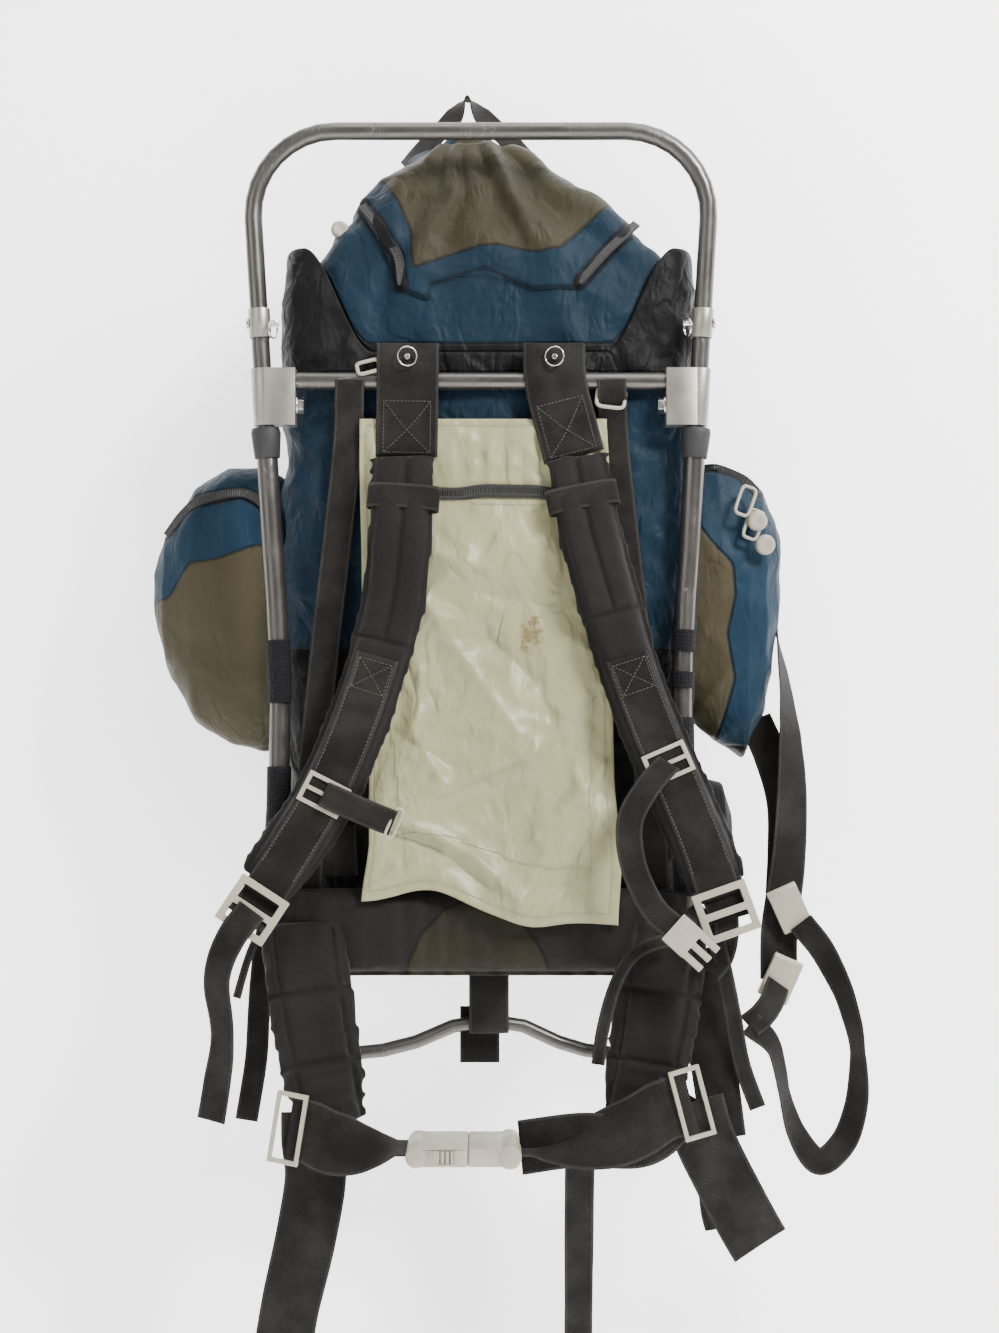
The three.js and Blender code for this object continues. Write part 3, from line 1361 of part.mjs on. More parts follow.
function pocketRing({ side, out, height, drop, halfDepth }, row, inset) {
  const ring = [];
  const top = drop + height * row.top + inset;
  const foot = drop + height * row.foot - inset;
  const reach = out * row.out - (row.out > 0 ? inset : 0);
  for (let i = 0; i < POCKET_SIDES; i += 1) {
    const [y, z] = outline((i / POCKET_SIDES) * Math.PI * 2, halfDepth * row.deep - inset, (foot - top) / 2, 2.6);
    const down = (top + foot) / 2 + z;
    const wall = bagSide(side, BAG_Y + y, down) + side * SEAM;
    const flat = BAG_MIDDLE + side * BAG_HALF;
    const x = lerp(wall, flat, Math.min(1, row.out * 2)) + side * reach;
    ring.push(new THREE.Vector3(x, BAG_Y + y, -down));
  }
  return ring;
}

function makePocket(name, size, rows, look) {
  const outer = rows.map((row) => pocketRing(size, row, 0));
  const inner = rows.map((row) => pocketRing(size, row, CLOTH));
  add(name, wall(outer.reverse(), inner), look);
}

function makePockets() {
  const pocket = { height: POCKET_HEIGHT, halfDepth: POCKET_HALF_DEPTH };
  const mesh = { height: MESH_HEIGHT, drop: MESH_DROP, halfDepth: POCKET_HALF_DEPTH };
  makePocket('side_pocket_left', { ...pocket, side: -1, out: POCKET_LEFT_OUT, drop: POCKET_LEFT_DROP },
    POCKET_LEFT_ROWS, 'olive');
  makePocket('side_pocket_right', { ...pocket, side: 1, out: POCKET_RIGHT_OUT, drop: POCKET_RIGHT_DROP },
    POCKET_RIGHT_ROWS, 'olive');
  makePocket('mesh_pocket_left', { ...mesh, side: -1, out: MESH_LEFT_OUT }, MESH_ROWS, 'mesh');
  makePocket('mesh_pocket_right', { ...mesh, side: 1, out: MESH_RIGHT_OUT }, MESH_ROWS, 'mesh');
}

// Haul loop: shares of the way from the hanging point down to the lid's side edges
const HAUL_ROWS = [
  { side: -1, down: 1, back: 1 },
  { side: -0.74, down: 0.66, back: 0.8 },
  { side: -0.28, down: 0.22, back: 0.2 },
  { side: 0, down: 0, back: 0 },
  { side: 0.28, down: 0.22, back: 0.2 },
  { side: 0.74, down: 0.66, back: 0.8 },
  { side: 1, down: 1, back: 1 },
];

function makeHaulLoop() {
  const row = LID_ROWS[HAUL_LID_ROW];
  const edges = [-1, 1].map((side) => lidPoint(side > 0 ? 0 : Math.PI, row, 0)
    .add(new THREE.Vector3(side * (GAP + WEB) * 1.4, 0, 0)));
  const points = HAUL_ROWS.map(({ side, down, back }) => {
    const edge = edges[side < 0 ? 0 : 1];
    return new THREE.Vector3(
      lerp(-LOOP_OFFSET, edge.x, Math.abs(side)),
      edge.y * back,
      lerp(WEB / 2, edge.z, down),
    );
  });
  strap('haul_loop', { points, rows: HAUL_ROWS, width: HAUL_WEB, across: new THREE.Vector3(0, 1, 0) });
}

// Compression strap on the right side pocket, with its buckles and loop
const SIDE_ROWS = [
  { down: 0, side: 0, fore: 0, turn: -86 },
  { down: 0.2, side: 0.02, fore: 0.08, turn: -60 },
  { down: 0.45, side: 0.02, fore: 0.18, turn: -30 },
  { down: 0.68, side: 0.0, fore: 0.24, turn: -14 },
  { down: 0.86, side: -0.03, fore: 0.28, turn: 0 },
  { down: 1, side: -0.035, fore: 0.3, turn: 0 },
];

const LOOP_ROWS = [
  { side: 0, down: 0, fore: 0, turn: 0 },
  { side: 0.3, down: 0.12, fore: 0.02, turn: 20 },
  { side: 0.62, down: 0.33, fore: 0.04, turn: 48 },
  { side: 0.76, down: 0.54, fore: 0.06, turn: 66 },
  { side: 0.72, down: 0.78, fore: 0.08, turn: 40 },
  { side: 0.52, down: 0.93, fore: 0.1, turn: 20 },
  { side: 0.2, down: 1, fore: 0.12, turn: 10 },
  { side: -0.12, down: 0.88, fore: 0.14, turn: 40 },
  { side: -0.3, down: 0.7, fore: 0.16, turn: 60 },
  { side: -0.46, down: 0.5, fore: 0.18, turn: 50 },
  { side: -0.78, down: 0.4, fore: 0.19, turn: 20 },
];

function sideBuckle(name, at, tilt) {
  const bar = SIDE_BUCKLE_THICK / 2;
  const whole = join([
    new THREE.BoxGeometry(SIDE_BUCKLE_WIDTH, SIDE_BUCKLE_THICK, SIDE_BUCKLE_LENGTH),
    rod(new THREE.Vector3(-SIDE_BUCKLE_WIDTH / 2, 0, SIDE_BUCKLE_LENGTH / 2),
      new THREE.Vector3(SIDE_BUCKLE_WIDTH / 2, 0, SIDE_BUCKLE_LENGTH / 2), bar, 10),
  ]);
  const mesh = add(name, toGeometry(whole), 'plastic');
  mesh.rotation.y = THREE.MathUtils.degToRad(tilt);
  mesh.position.copy(at);
}

function makeSideStraps() {
  const y = BAG_Y;
  const x = bagSide(1, y, SIDE_STRAP_DROP) + POCKET_RIGHT_OUT;
  const from = new THREE.Vector3(x + GAP + WEB - SIDE_STRAP_SEAT, y, -SIDE_STRAP_DROP);
  const found = strap('side_strap', {
    points: hanging(from, SIDE_STRAP, SIDE_ROWS),
    rows: SIDE_ROWS,
    width: SIDE_WEB,
  });
  const low = found.at(-1).at;
  const high = found[Math.round(found.length * UPPER_BUCKLE_PLACE)];
  const ahead = SIDE_BUCKLE_THICK / 2 + GAP * 2 + WEB;
  sideBuckle('side_buckle_lower', low.clone().add(new THREE.Vector3(0, LOWER_BUCKLE_SEAT - ahead, 0)), 24);
  const upper = high.at.clone().add(new THREE.Vector3(6, -ahead - 3, 0));
  sideBuckle('side_buckle_upper', upper, -24);
  const start = upper.clone().add(new THREE.Vector3(8, -ahead + WEB / 2, -SIDE_BUCKLE_LENGTH * 0.3));
  strap('side_loop_strap', {
    points: hanging(start, LOOP_STRAP_DROP, LOOP_ROWS.map((row) => ({
      ...row,
      side: row.side * (LOOP_STRAP_WIDTH / LOOP_STRAP_DROP),
    }))),
    rows: LOOP_ROWS,
    width: NARROW_WEB * 0.9,
    steps: 2,
  });
}

// Assembly

makeHoop();
makeRails();
makeLowerLoop();
makeCrossbar();
for (const [word, side] of [['left', -1], ['right', 1]]) {
  makeClamp(word, side);
  makeCollar(word, side);
  makeBushing(word, side);
}
makeYoke('left', YOKE_LEFT, YOKE_LEAN_LEFT);
makeYoke('right', YOKE_RIGHT, YOKE_LEAN_RIGHT);
makePad('left', padRoot(YOKE_LEFT, YOKE_LEAN_LEFT), -PAD_SPREAD_LEFT, PAD_ROWS_LEFT);
makePad('right', padRoot(YOKE_RIGHT, YOKE_LEAN_RIGHT), PAD_SPREAD_RIGHT, PAD_ROWS_RIGHT);
makeAdjuster('left');
makeAdjuster('right');
const sliders = { left: makeSlider('left', 0.75), right: makeSlider('right', 0.69) };
const locks = { left: makeLock('left'), right: makeLock('right') };
makeHarnessStraps(locks, sliders);
makePanel();
makeBackWeb('left', -1);
makeBackWeb('right', 1);
makeLumbar();
makeWing('left', -1, WING_ROOT_LEFT, WING_SEAT_LEFT);
makeWing('right', 1, WING_ROOT_RIGHT, WING_SEAT_RIGHT);
makeBuckle();
makeBeltWeb('left', -1, wings.left, BELT_OUT_LEFT, BELT_UP_LEFT);
makeBeltWeb('right', 1, wings.right, BELT_OUT_RIGHT, BELT_UP_RIGHT);
makeGlide('left', GLIDE_RIDE_LEFT);
makeGlide('right', GLIDE_RIDE_RIGHT);
makeTails();
makeBottomStrap();
makeBag();
makeLid();
makePockets();
makeHaulLoop();
makeSideStraps();

const group = new THREE.Group();
group.add(pack);

export default group;
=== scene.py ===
# External frame backpack: cloth, webbing, pads and finishes over its solid frame.
from math import atan2, copysign, cos, exp, hypot, pi, radians, sin

import bpy
import numpy as np
from mathutils import Matrix, Vector, noise


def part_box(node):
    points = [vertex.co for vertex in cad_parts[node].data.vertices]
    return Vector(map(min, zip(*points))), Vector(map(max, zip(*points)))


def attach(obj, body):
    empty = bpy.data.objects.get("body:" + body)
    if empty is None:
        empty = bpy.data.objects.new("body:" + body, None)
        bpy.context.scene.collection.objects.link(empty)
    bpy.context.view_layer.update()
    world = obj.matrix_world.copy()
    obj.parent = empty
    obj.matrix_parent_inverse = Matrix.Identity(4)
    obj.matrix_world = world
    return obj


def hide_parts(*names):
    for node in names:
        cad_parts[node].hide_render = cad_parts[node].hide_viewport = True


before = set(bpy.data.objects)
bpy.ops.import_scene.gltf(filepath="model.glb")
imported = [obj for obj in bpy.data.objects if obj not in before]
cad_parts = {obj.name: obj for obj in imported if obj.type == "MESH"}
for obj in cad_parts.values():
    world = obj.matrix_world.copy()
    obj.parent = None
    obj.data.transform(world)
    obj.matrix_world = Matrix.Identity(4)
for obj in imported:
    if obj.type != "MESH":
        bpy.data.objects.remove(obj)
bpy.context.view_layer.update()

bl_info = {
    "name": "Frame Backpack",
    "version": (1, 0, 0),
    "blender": (4, 5, 0),
    "location": "3D View > Sidebar > Backpack",
    "description": "Builds the soft parts, small fittings and finishes of an external frame backpack",
    "category": "Object",
}

MM = 0.001
FRONT = Vector((0, -1, 0))
WEB = 1.6
MIDDLE = 12.5  # frame's middle, right of the hanging point
FAR = -30  # a painted field's value well outside its zone


def tone(red, green, blue):
    """A colour picked on screen, as the shader's linear values."""
    def linear(value):
        value /= 255
        return value / 12.92 if value <= 0.04045 else ((value + 0.055) / 1.055) ** 2.4
    return (linear(red), linear(green), linear(blue))


# Sizes and colours


class PackColours(bpy.types.PropertyGroup):
    """Colours of the backpack's materials."""

    def colour(label, words, value):
        return bpy.props.FloatVectorProperty(
            name=label, description=words, subtype="COLOR", size=3, min=0, max=1, default=tone(*value))

    blue: colour("Blue nylon", "Main bag, pocket tops and the lid's borders", (15, 38, 53))
    olive: colour("Olive cloth", "Lid centre and side pocket faces", (57, 52, 37))
    panel: colour("Back panel", "Pale coated nylon between the shoulder straps", (161, 158, 120))
    # Black also serves as painted shade, in the bag's collar band just under the lid.
    black: colour("Black cloth", "Bag collar, lower body and mesh", (14, 14, 15))
    webbing: colour("Webbing", "All straps", (21, 19, 17))
    pad: colour("Pad cloth", "Shoulder pads, lumbar pad and belt wings", (29, 26, 25))
    patch: colour("Lumbar patch", "Dark olive patch on the lumbar pad", (42, 38, 28))
    tube: colour("Frame tube", "Anodised frame", (92, 88, 84))
    clamp: colour("Clamps", "Cast clamps and turned collars", (158, 151, 142))
    plastic: colour("Buckles", "Moulded buckles and zip pulls", (150, 142, 126))


class PackSizes(bpy.types.PropertyGroup):
    """Sizes of the backpack's soft detail."""

    def length(label, words, value):
        return bpy.props.FloatProperty(
            name=label, description=words, subtype="DISTANCE", unit="LENGTH", min=0, default=value * MM)

    fold: length("Panel fold", "Height of the long folds in the back panel", 8)
    wrinkle: length("Bag wrinkle", "Height of the wrinkles in the nylon", 2.6)
    channel: length("Seam depth", "Depth of the sewn channels in the pads", 3)
    stitch: length("Stitch", "Length of one visible stitch", 2.4)
    voxel: length("Pad mesh", "Mesh size the pads are simulated at", 5)
    swell: length("Pad swell", "Furthest a pad may swell", 4)


def colours():
    return bpy.context.scene.pack_colours


def sizes():
    return bpy.context.scene.pack_sizes


# Node materials

WAVE = 0.314  # metres between the ridges of a wave texture at scale 1


def wire(tree, made, **inputs):
    """Links or sets a node's inputs, by name with underscores for spaces or by _number."""
    for key, value in inputs.items():
        socket = made.inputs[int(key[1:])] if key[0] == "_" else made.inputs[key.replace("_", " ")]
        if isinstance(value, bpy.types.NodeSocket):
            tree.links.new(value, socket)
        else:
            socket.default_value = value
    return made


def node(tree, kind, settings=None, **inputs):
    made = tree.nodes.new("ShaderNode" + kind)
    for key, value in (settings or {}).items():
        setattr(made, key, value)
    return wire(tree, made, **inputs)


def reckon(tree, operation, first, second=0.0):
    """Result of a math node."""
    return node(tree, "Math", {"operation": operation}, _0=first, _1=second).outputs[0]


def times(tree, first, second):
    """Product of two values."""
    return reckon(tree, "MULTIPLY", first, second)


def remainder(tree, value):
    """One less the value."""
    return reckon(tree, "SUBTRACT", 1.0, value)


def spread(tree, value, low, high, to_low=0.0, to_high=1.0):
    """A value mapped smoothly from one range to another."""
    return node(tree, "MapRange", {"interpolation_type": "SMOOTHSTEP"}, Value=value, From_Min=low, From_Max=high,
                To_Min=to_low, To_Max=to_high).outputs[0]


def mix(tree, share, first, second, blend="MIX"):
    """Two colours mixed or blended by a share."""
    return node(tree, "MixRGB", {"blend_type": blend}, Fac=share, Color1=first, Color2=second).outputs[0]


def rgba(colour, shade=1.0):
    """A colour with full alpha, lightened or darkened by a shade."""
    return (*[min(1.0, part * shade) for part in colour], 1)


def grey(value):
    """A grey with full alpha."""
    return (value, value, value, 1)


def blank(name):
    """A new material, its node tree and its shader."""
    material = bpy.data.materials.new(name)
    material.use_nodes = True
    return material, material.node_tree, material.node_tree.nodes["Principled BSDF"]


def places(tree, kind="Object"):
    """The piece's own coordinates."""
    return node(tree, "TexCoord").outputs[kind]


def painted(tree, name):
    """A field stored on the mesh."""
    return node(tree, "Attribute", {"attribute_name": name}).outputs["Fac"]


def bump(tree, height, distance, strength=1.0, normal=None):
    """Relief of that height in millimetres, over another."""
    under = {} if normal is None else {"Normal": normal}
    return node(tree, "Bump", None, Height=height, Distance=distance * MM, Strength=strength, **under).outputs[0]


def ridges(tree, where, pitch, way, **settings):
    """Even ridges of that pitch, in millimetres."""
    return node(tree, "TexWave", {"wave_type": "BANDS", "bands_direction": way}, Vector=where,
                Scale=WAVE / (pitch * MM), **settings).outputs["Fac"]


def weave(tree, where, pitch):
    """Over-and-under height of a plain weave of that thread pitch, in millimetres."""
    return times(tree, *[ridges(tree, where, 2 * pitch, way) for way in ("X", "Y")])


def grime(tree, where, scale, detail=4.0, rough=0.6):
    """Cloudy noise."""
    return node(tree, "TexNoise", None, Vector=where, Scale=scale, Detail=detail, Roughness=rough).outputs["Fac"]


def creases(tree, where, scale, width=0.12):
    """Height of long soft creases where crumpled cloth has been folded."""
    long_way = node(tree, "Mapping", None, Vector=where, Rotation=(0.0, 0.5, 0.0), Scale=(1.0, 1.0, 0.55)).outputs[0]
    value = node(tree, "TexNoise", None, Vector=long_way, Scale=scale * 0.8, Detail=2.5, Roughness=0.5,
                 Distortion=0.8).outputs["Fac"]
    return spread(tree, reckon(tree, "ABSOLUTE", reckon(tree, "SUBTRACT", value, 0.5)), 0.0, width)


def cloth(name, colour, *, rough=0.8, sheen=0.2, pitch=0.6, thread=0.08, wrinkle=0.8, crumple=0.0,
          scale=30, fade=0.25, zones=(), uv=True, coat=0.0, stains=()):
    """Woven cloth. Zones are (attribute, colour) fields painted where the attribute is above zero."""
    material, tree, shader = blank(name)
    where = places(tree)
    soft = grime(tree, where, scale)
    broad = grime(tree, where, scale * 0.25, 3.0)
    base = rgba(colour)
    seam = None
    for attribute, other in zones:
        field = painted(tree, attribute)
        base = mix(tree, spread(tree, field, -0.0003, 0.0003), base, rgba(other))
        line = spread(tree, reckon(tree, "ABSOLUTE", field), 0.0005, 0.0022)
        seam = line if seam is None else times(tree, seam, line)
    worn = mix(tree, spread(tree, soft, 0.3, 0.75, 0, fade), base, rgba((1, 0.97, 0.9), 0.5), "SOFT_LIGHT")
    dark = mix(tree, spread(tree, broad, 0.35, 0.7, fade, 0), worn, rgba((0.15, 0.14, 0.13)), "MULTIPLY")
    threads = weave(tree, places(tree, "UV") if uv else where, pitch)
    fine = mix(tree, times(tree, remainder(tree, threads), 0.28), dark, grey(0.3), "MULTIPLY")
    for place, radius, stain in stains:
        far = node(tree, "VectorMath", {"operation": "DISTANCE"}, _0=where, _1=Vector(place) * MM).outputs["Value"]
        ragged = times(tree, far, spread(tree, grime(tree, where, 260), 0.3, 0.7, 0.6, 1.5))
        fine = mix(tree, spread(tree, ragged, radius * 0.3 * MM, radius * MM, 0.7, 0), fine, rgba(stain), "MULTIPLY")
    if seam is not None:
        fine = mix(tree, seam, mix(tree, 0.6, fine, grey(0.1), "MULTIPLY"), fine)
    normal = bump(tree, soft, wrinkle * 4)
    if crumple:
        normal = bump(tree, creases(tree, where, scale * 1.3), crumple, 0.8, normal)
        normal = bump(tree, creases(tree, where, scale * 3.1, 0.2), crumple * 0.4, 0.7, normal)
    if seam is not None:
        normal = bump(tree, seam, 0.7, 1.0, normal)
    wire(tree, shader, Base_Color=fine, Normal=bump(tree, threads, thread, 0.9, normal),
         Roughness=spread(tree, soft, 0.3, 0.7, rough - 0.06, rough + 0.06), Sheen_Weight=sheen, Sheen_Roughness=0.45,
         Specular_IOR_Level=0.12, Coat_Weight=coat, Coat_Roughness=0.35)
    return material


def webbing(name, colour, rib=1.5):
    """Flat woven webbing: ribs across its length, firm selvedges, worn threads and dust."""
    material, tree, shader = blank(name)
    uv = places(tree, "UV")
    ribs = ridges(tree, uv, rib, "Y", Distortion=0.6, Detail=1.0)
    cords = ridges(tree, uv, 1.9, "X", Distortion=0.2)
    ground = reckon(tree, "ADD", times(tree, ribs, 0.6), times(tree, cords, 0.4))
    selvedge = spread(tree, painted(tree, "edge"), 0.0016, 0.0028)
    dust = grime(tree, places(tree), 22)
    worn = mix(tree, spread(tree, dust, 0.35, 0.75, 0, 0.5), rgba(colour), rgba((0.03, 0.027, 0.023)), "SCREEN")
    shade = mix(tree, times(tree, remainder(tree, ground), 0.5), worn, grey(0.2), "MULTIPLY")
    rim = mix(tree, 0.35, shade, rgba((0.035, 0.032, 0.028)), "SCREEN")
    normal = bump(tree, ground, 0.35, 1.0, bump(tree, selvedge, 0.35, 0.7))
    wire(tree, shader, Base_Color=mix(tree, selvedge, rim, shade), Normal=bump(tree, dust, 1.2, 0.6, normal),
         Roughness=0.78, Sheen_Weight=0.06, Sheen_Roughness=0.4, Specular_IOR_Level=0.12)
    return material


def metal(name, colour, rough, brushed=0.3, scratches=0.4, metallic=0.85, along=(1, 1, 0.05)):
    """Drawn or cast metal: fine brushing along its length, scratches and dulled patches."""
    material, tree, shader = blank(name)
    where = places(tree)
    stretched = node(tree, "Mapping", None, Vector=where, Scale=along).outputs[0]
    lines = grime(tree, stretched, 1800, 3.0, 0.7)
    patches = grime(tree, where, 35, 5.0, 0.65)
    marks = node(tree, "TexVoronoi", {"feature": "DISTANCE_TO_EDGE"}, Vector=stretched, Scale=130).outputs["Distance"]
    scratch = times(tree, spread(tree, marks, 0.0, 0.014, 1, 0), spread(tree, patches, 0.52, 0.66))
    base = mix(tree, spread(tree, patches, 0.3, 0.7, 0, 0.35), rgba(colour), rgba(colour, 0.72))
    base = mix(tree, times(tree, scratch, scratches), base, rgba((0.8, 0.79, 0.77)))
    normal = bump(tree, scratch, 0.05, -0.6, bump(tree, lines, 0.05 * brushed))
    wire(tree, shader, Base_Color=base, Normal=normal, Metallic=metallic,
         Roughness=spread(tree, patches, 0.3, 0.7, rough - 0.07, rough + 0.1))
    return material


def moulded(name, colour, rough):
    """Moulded plastic or rubber: fine pebble grain, rubbed edges and grey dirt."""
    material, tree, shader = blank(name)
    where = places(tree)
    pebble = node(tree, "TexVoronoi", None, Vector=where, Scale=2600).outputs["Distance"]
    dirt = grime(tree, where, 90, 5.0)
    edge = node(tree, "NewGeometry").outputs["Pointiness"]
    base = mix(tree, spread(tree, dirt, 0.4, 0.75, 0, 0.3), rgba(colour), rgba(colour, 0.55))
    base = mix(tree, spread(tree, edge, 0.52, 0.6, 0, 0.4), base, rgba(colour, 1.4))
    wire(tree, shader, Base_Color=base, Normal=bump(tree, pebble, 0.06, 0.5),
         Roughness=spread(tree, dirt, 0.3, 0.7, rough - 0.08, rough + 0.1))
    return material


def zipper(name):
    """Zip tape with a coil of teeth down its middle, laid out by the band's own coordinates."""
    material, tree, shader = blank(name)
    uv = places(tree, "UV")
    side = node(tree, "SeparateXYZ", None, Vector=uv).outputs[0]
    teeth = ridges(tree, uv, 2.2, "Y")
    near = spread(tree, reckon(tree, "ABSOLUTE", side), 0.0022, 0.0032, 1, 0)
    height = times(tree, near, reckon(tree, "ADD", times(tree, teeth, 0.6), 0.4))
    tape = mix(tree, spread(tree, weave(tree, uv, 0.8), 0, 1, 0, 0.4), rgba(tone(15, 15, 15)), rgba(tone(26, 24, 23)))
    coil = mix(tree, teeth, rgba(tone(8, 8, 8)), rgba(tone(34, 32, 30)))
    wire(tree, shader, Base_Color=mix(tree, near, tape, coil), Normal=bump(tree, height, 0.9),
         Roughness=spread(tree, near, 0, 1, 0.75, 0.42))
    return material


def netting(name, colour):
    """Black knitted net: round holes in rows, painted near-black as the shade seen through the net."""
    material, tree, shader = blank(name)
    holes = node(tree, "TexVoronoi", None, Vector=places(tree, "UV"), Scale=1 / (3.4 * MM), Randomness=0.12)
    yarn = spread(tree, holes.outputs["Distance"], 0.25, 0.42)
    soft = grime(tree, places(tree), 30)
    # Near-black in the holes is painted shade, standing for the dark inside seen through the net.
    shade = mix(tree, yarn, rgba((0.006, 0.006, 0.007)), mix(tree, soft, rgba(colour), rgba(colour, 1.9)))
    wire(tree, shader, Base_Color=shade, Normal=bump(tree, yarn, 0.6, 1.0, bump(tree, soft, 3.0)),
         Roughness=0.7, Specular_IOR_Level=0.1, Sheen_Weight=0.03)
    return material


def backdrop(name):
    """Pale paper that is clear from behind, so it hides nothing in a view from there."""
    material, tree, shader = blank(name)
    shade = mix(tree, spread(tree, grime(tree, places(tree), 2.2, 2.0), 0.3, 0.7), grey(0.93),
                grey(0.96))
    wire(tree, shader, Base_Color=shade, Roughness=0.9, Emission_Color=(1, 1, 1, 1), Emission_Strength=1.5)
    back = node(tree, "NewGeometry").outputs["Backfacing"]
    seen = node(tree, "MixShader", None, _0=back, _1=shader.outputs[0], _2=node(tree, "BsdfTransparent").outputs[0])
    wire(tree, tree.nodes["Material Output"], Surface=seen.outputs[0])
    return material


finishes = {}


def finish(name):
    """One material for each named finish, made when it is first needed."""
    if name in finishes:
        return finishes[name]
    c = colours()
    nylon = dict(rough=0.5, sheen=0.05, pitch=0.45, wrinkle=0.5, crumple=1.4)
    light = {**nylon, "crumple": 0.8}
    pocket = {**nylon, "crumple": 0.6}
    stuffed = dict(rough=0.75, sheen=0.08, pitch=0.7, wrinkle=0.5, scale=45, uv=False, fade=0.4)
    spun = dict(pitch=0.3, uv=False, wrinkle=0.1)
    # Lighter copies of the blue and olive, for the side pockets.
    lighter_blue, lighter_olive = [[part * more for part in held] for held, more in ((c.blue, 1.35), (c.olive, 1.4))]
    rust = [((54, -80, -476), 14, (0.42, 0.27, 0.12)), ((58, -80, -464), 9, (0.5, 0.34, 0.2)),
            ((50, -80, -490), 8, (0.5, 0.34, 0.2))]
    makers = {
        # The collar zone is the bag's black binding and ears, and also painted shade in the strip under the lid.
        "bag": lambda: cloth("bag_cloth", c.blue, zones=(("collar", c.black), ("base", c.black)), **nylon),
        "lid": lambda: cloth("lid_cloth", c.blue, **light, zones=(
            ("flap", c.blue), ("centre", c.olive), ("hem", c.black), ("zip", c.black))),
        "pocket": lambda: cloth("pocket_cloth", lighter_blue, **pocket, zones=(
            ("centre", lighter_olive), ("foot", c.black), ("zip", c.black))),
        "panel": lambda: cloth("panel_cloth", c.panel, rough=0.34, sheen=0.02, pitch=0.4, thread=0.03, wrinkle=0.35,
                               crumple=1.5, scale=22, fade=0.2, coat=0.3, stains=rust),
        "pad": lambda: cloth("pad_cloth", c.pad, **stuffed),
        "lumbar": lambda: cloth("lumbar_cloth", c.pad, zones=(("patch", c.patch),), **stuffed),
        "net": lambda: netting("net_cloth", c.black),
        "webbing": lambda: webbing("webbing", c.webbing),
        "zip": lambda: zipper("zip_tape"),
        "thread": lambda: cloth("thread", tone(74, 69, 62), **spun),
        "pale_thread": lambda: cloth("pale_thread", tone(150, 148, 124), **spun),
        "tube": lambda: metal("frame_tube", c.tube, 0.34),
        "bar": lambda: metal("crossbar_tube", c.tube, 0.34, along=(0.05, 1, 1)),
        "clamp": lambda: metal("clamp_metal", c.clamp, 0.4, brushed=0.8, along=(0.1, 1, 1)),
        "steel": lambda: metal("bright_steel", tone(205, 203, 198), 0.2, scratches=0.2, metallic=1.0),
        "rubber": lambda: moulded("bushing_rubber", tone(30, 29, 29), 0.7),
        "plastic": lambda: moulded("buckle_plastic", c.plastic, 0.45),
        "cord": lambda: webbing("pull_cord", tone(60, 60, 62), rib=1.2),
    }
    finishes[name] = makers[name]()
    return finishes[name]


# Meshes


def shape(name, points, faces, look, slot, uvs=None, fields=None, hides=()):
    """A new piece from millimetre points, riding on the root body."""
    mesh = bpy.data.meshes.new(name)
    mesh.from_pydata([(p[0] * MM, p[1] * MM, p[2] * MM) for p in points], [], faces)
    mesh.update()
    if uvs is not None:
        layer = mesh.uv_layers.new(name="UVMap")
        corners = np.zeros(len(mesh.loops), np.int32)
        mesh.loops.foreach_get("vertex_index", corners)
        layer.data.foreach_set("uv", (np.asarray(uvs, np.float32)[corners] * MM).ravel())
    for key, values in (fields or {}).items():
        attribute = mesh.attributes.new(key, "FLOAT", "POINT")
        attribute.data.foreach_set("value", np.asarray(values, np.float32) * MM)
    mesh.polygons.foreach_set("use_smooth", [True] * len(mesh.polygons))
    piece = bpy.data.objects.new(name, mesh)
    bpy.context.scene.collection.objects.link(piece)
    mesh.materials.append(finish(look))
    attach(piece, "root")
    if hides:
        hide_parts(*hides)
    return piece


def grid_faces(rows, columns, closed=False):
    """Faces of a grid of points, joined round if closed."""
    faces = []
    wrap = columns if closed else columns - 1
    for r in range(rows - 1):
        for c in range(wrap):
            d = (c + 1) % columns
            faces.append((r * columns + c, r * columns + d, (r + 1) * columns + d, (r + 1) * columns + c))
    return faces


def sweep_faces(rings, sides):
    """Faces of a closed sweep: its wall and a flat end at each end."""
    last = rings * sides - 1
    return [tuple(reversed(face)) for face in grid_faces(rings, sides, True)] + [
        tuple(range(sides)), tuple(last - k for k in range(sides))]


def solidify(piece, thick, offset=-1.0):
    """Gives a sheet its thickness."""
    made = piece.modifiers.new("wall", "SOLIDIFY")
    made.thickness = thick * MM
    made.offset = offset
    made.use_even_offset = False


def settle(piece):
    """Bakes the piece's modifiers into its mesh."""
    graph = bpy.context.evaluated_depsgraph_get()
    baked = bpy.data.meshes.new_from_object(piece.evaluated_get(graph))
    piece.modifiers.clear()
    piece.data = baked


def lerp(a, b, share):
    """Value that far between two."""
    return a + (b - a) * share


def ease(low, high, value):
    """Smooth step from 0 at low to 1 at high."""
    share = min(1.0, max(0.0, (value - low) / (high - low)))
    return share * share * (3 - 2 * share)


def bell(value, width):
    """A bell curve of height 1."""
    return exp(-(value / width) ** 2)


def row_value(values, share):
    """Value at that share along an evenly spaced row."""
    place = share * (len(values) - 1)
    low = min(int(place), len(values) - 2)
    return lerp(values[low], values[low + 1], place - low)


def table_value(rows, key, share):
    """Value at that share down a table whose first entry gives each row's share."""
    low = 0
    while low < len(rows) - 2 and share > rows[low + 1][0]:
        low += 1
    a, b = rows[low], rows[low + 1]
    between = (share - a[0]) / (b[0] - a[0])
    return lerp(a[key], b[key], ease(0, 1, between) * 0.5 + 0.5 * between)


def line_gap(line, x, z):
    """Distance from a point to a chain of straight runs in the X-Z plane."""
    best = 1e9
    for (x0, z0), (x1, z1) in zip(line, line[1:]):
        dx, dz = x1 - x0, z1 - z0
        share = min(1.0, max(0.0, ((x - x0) * dx + (z - z0) * dz) / (dx * dx + dz * dz)))
        best = min(best, hypot(x - x0 - share * dx, z - z0 - share * dz))
    return best


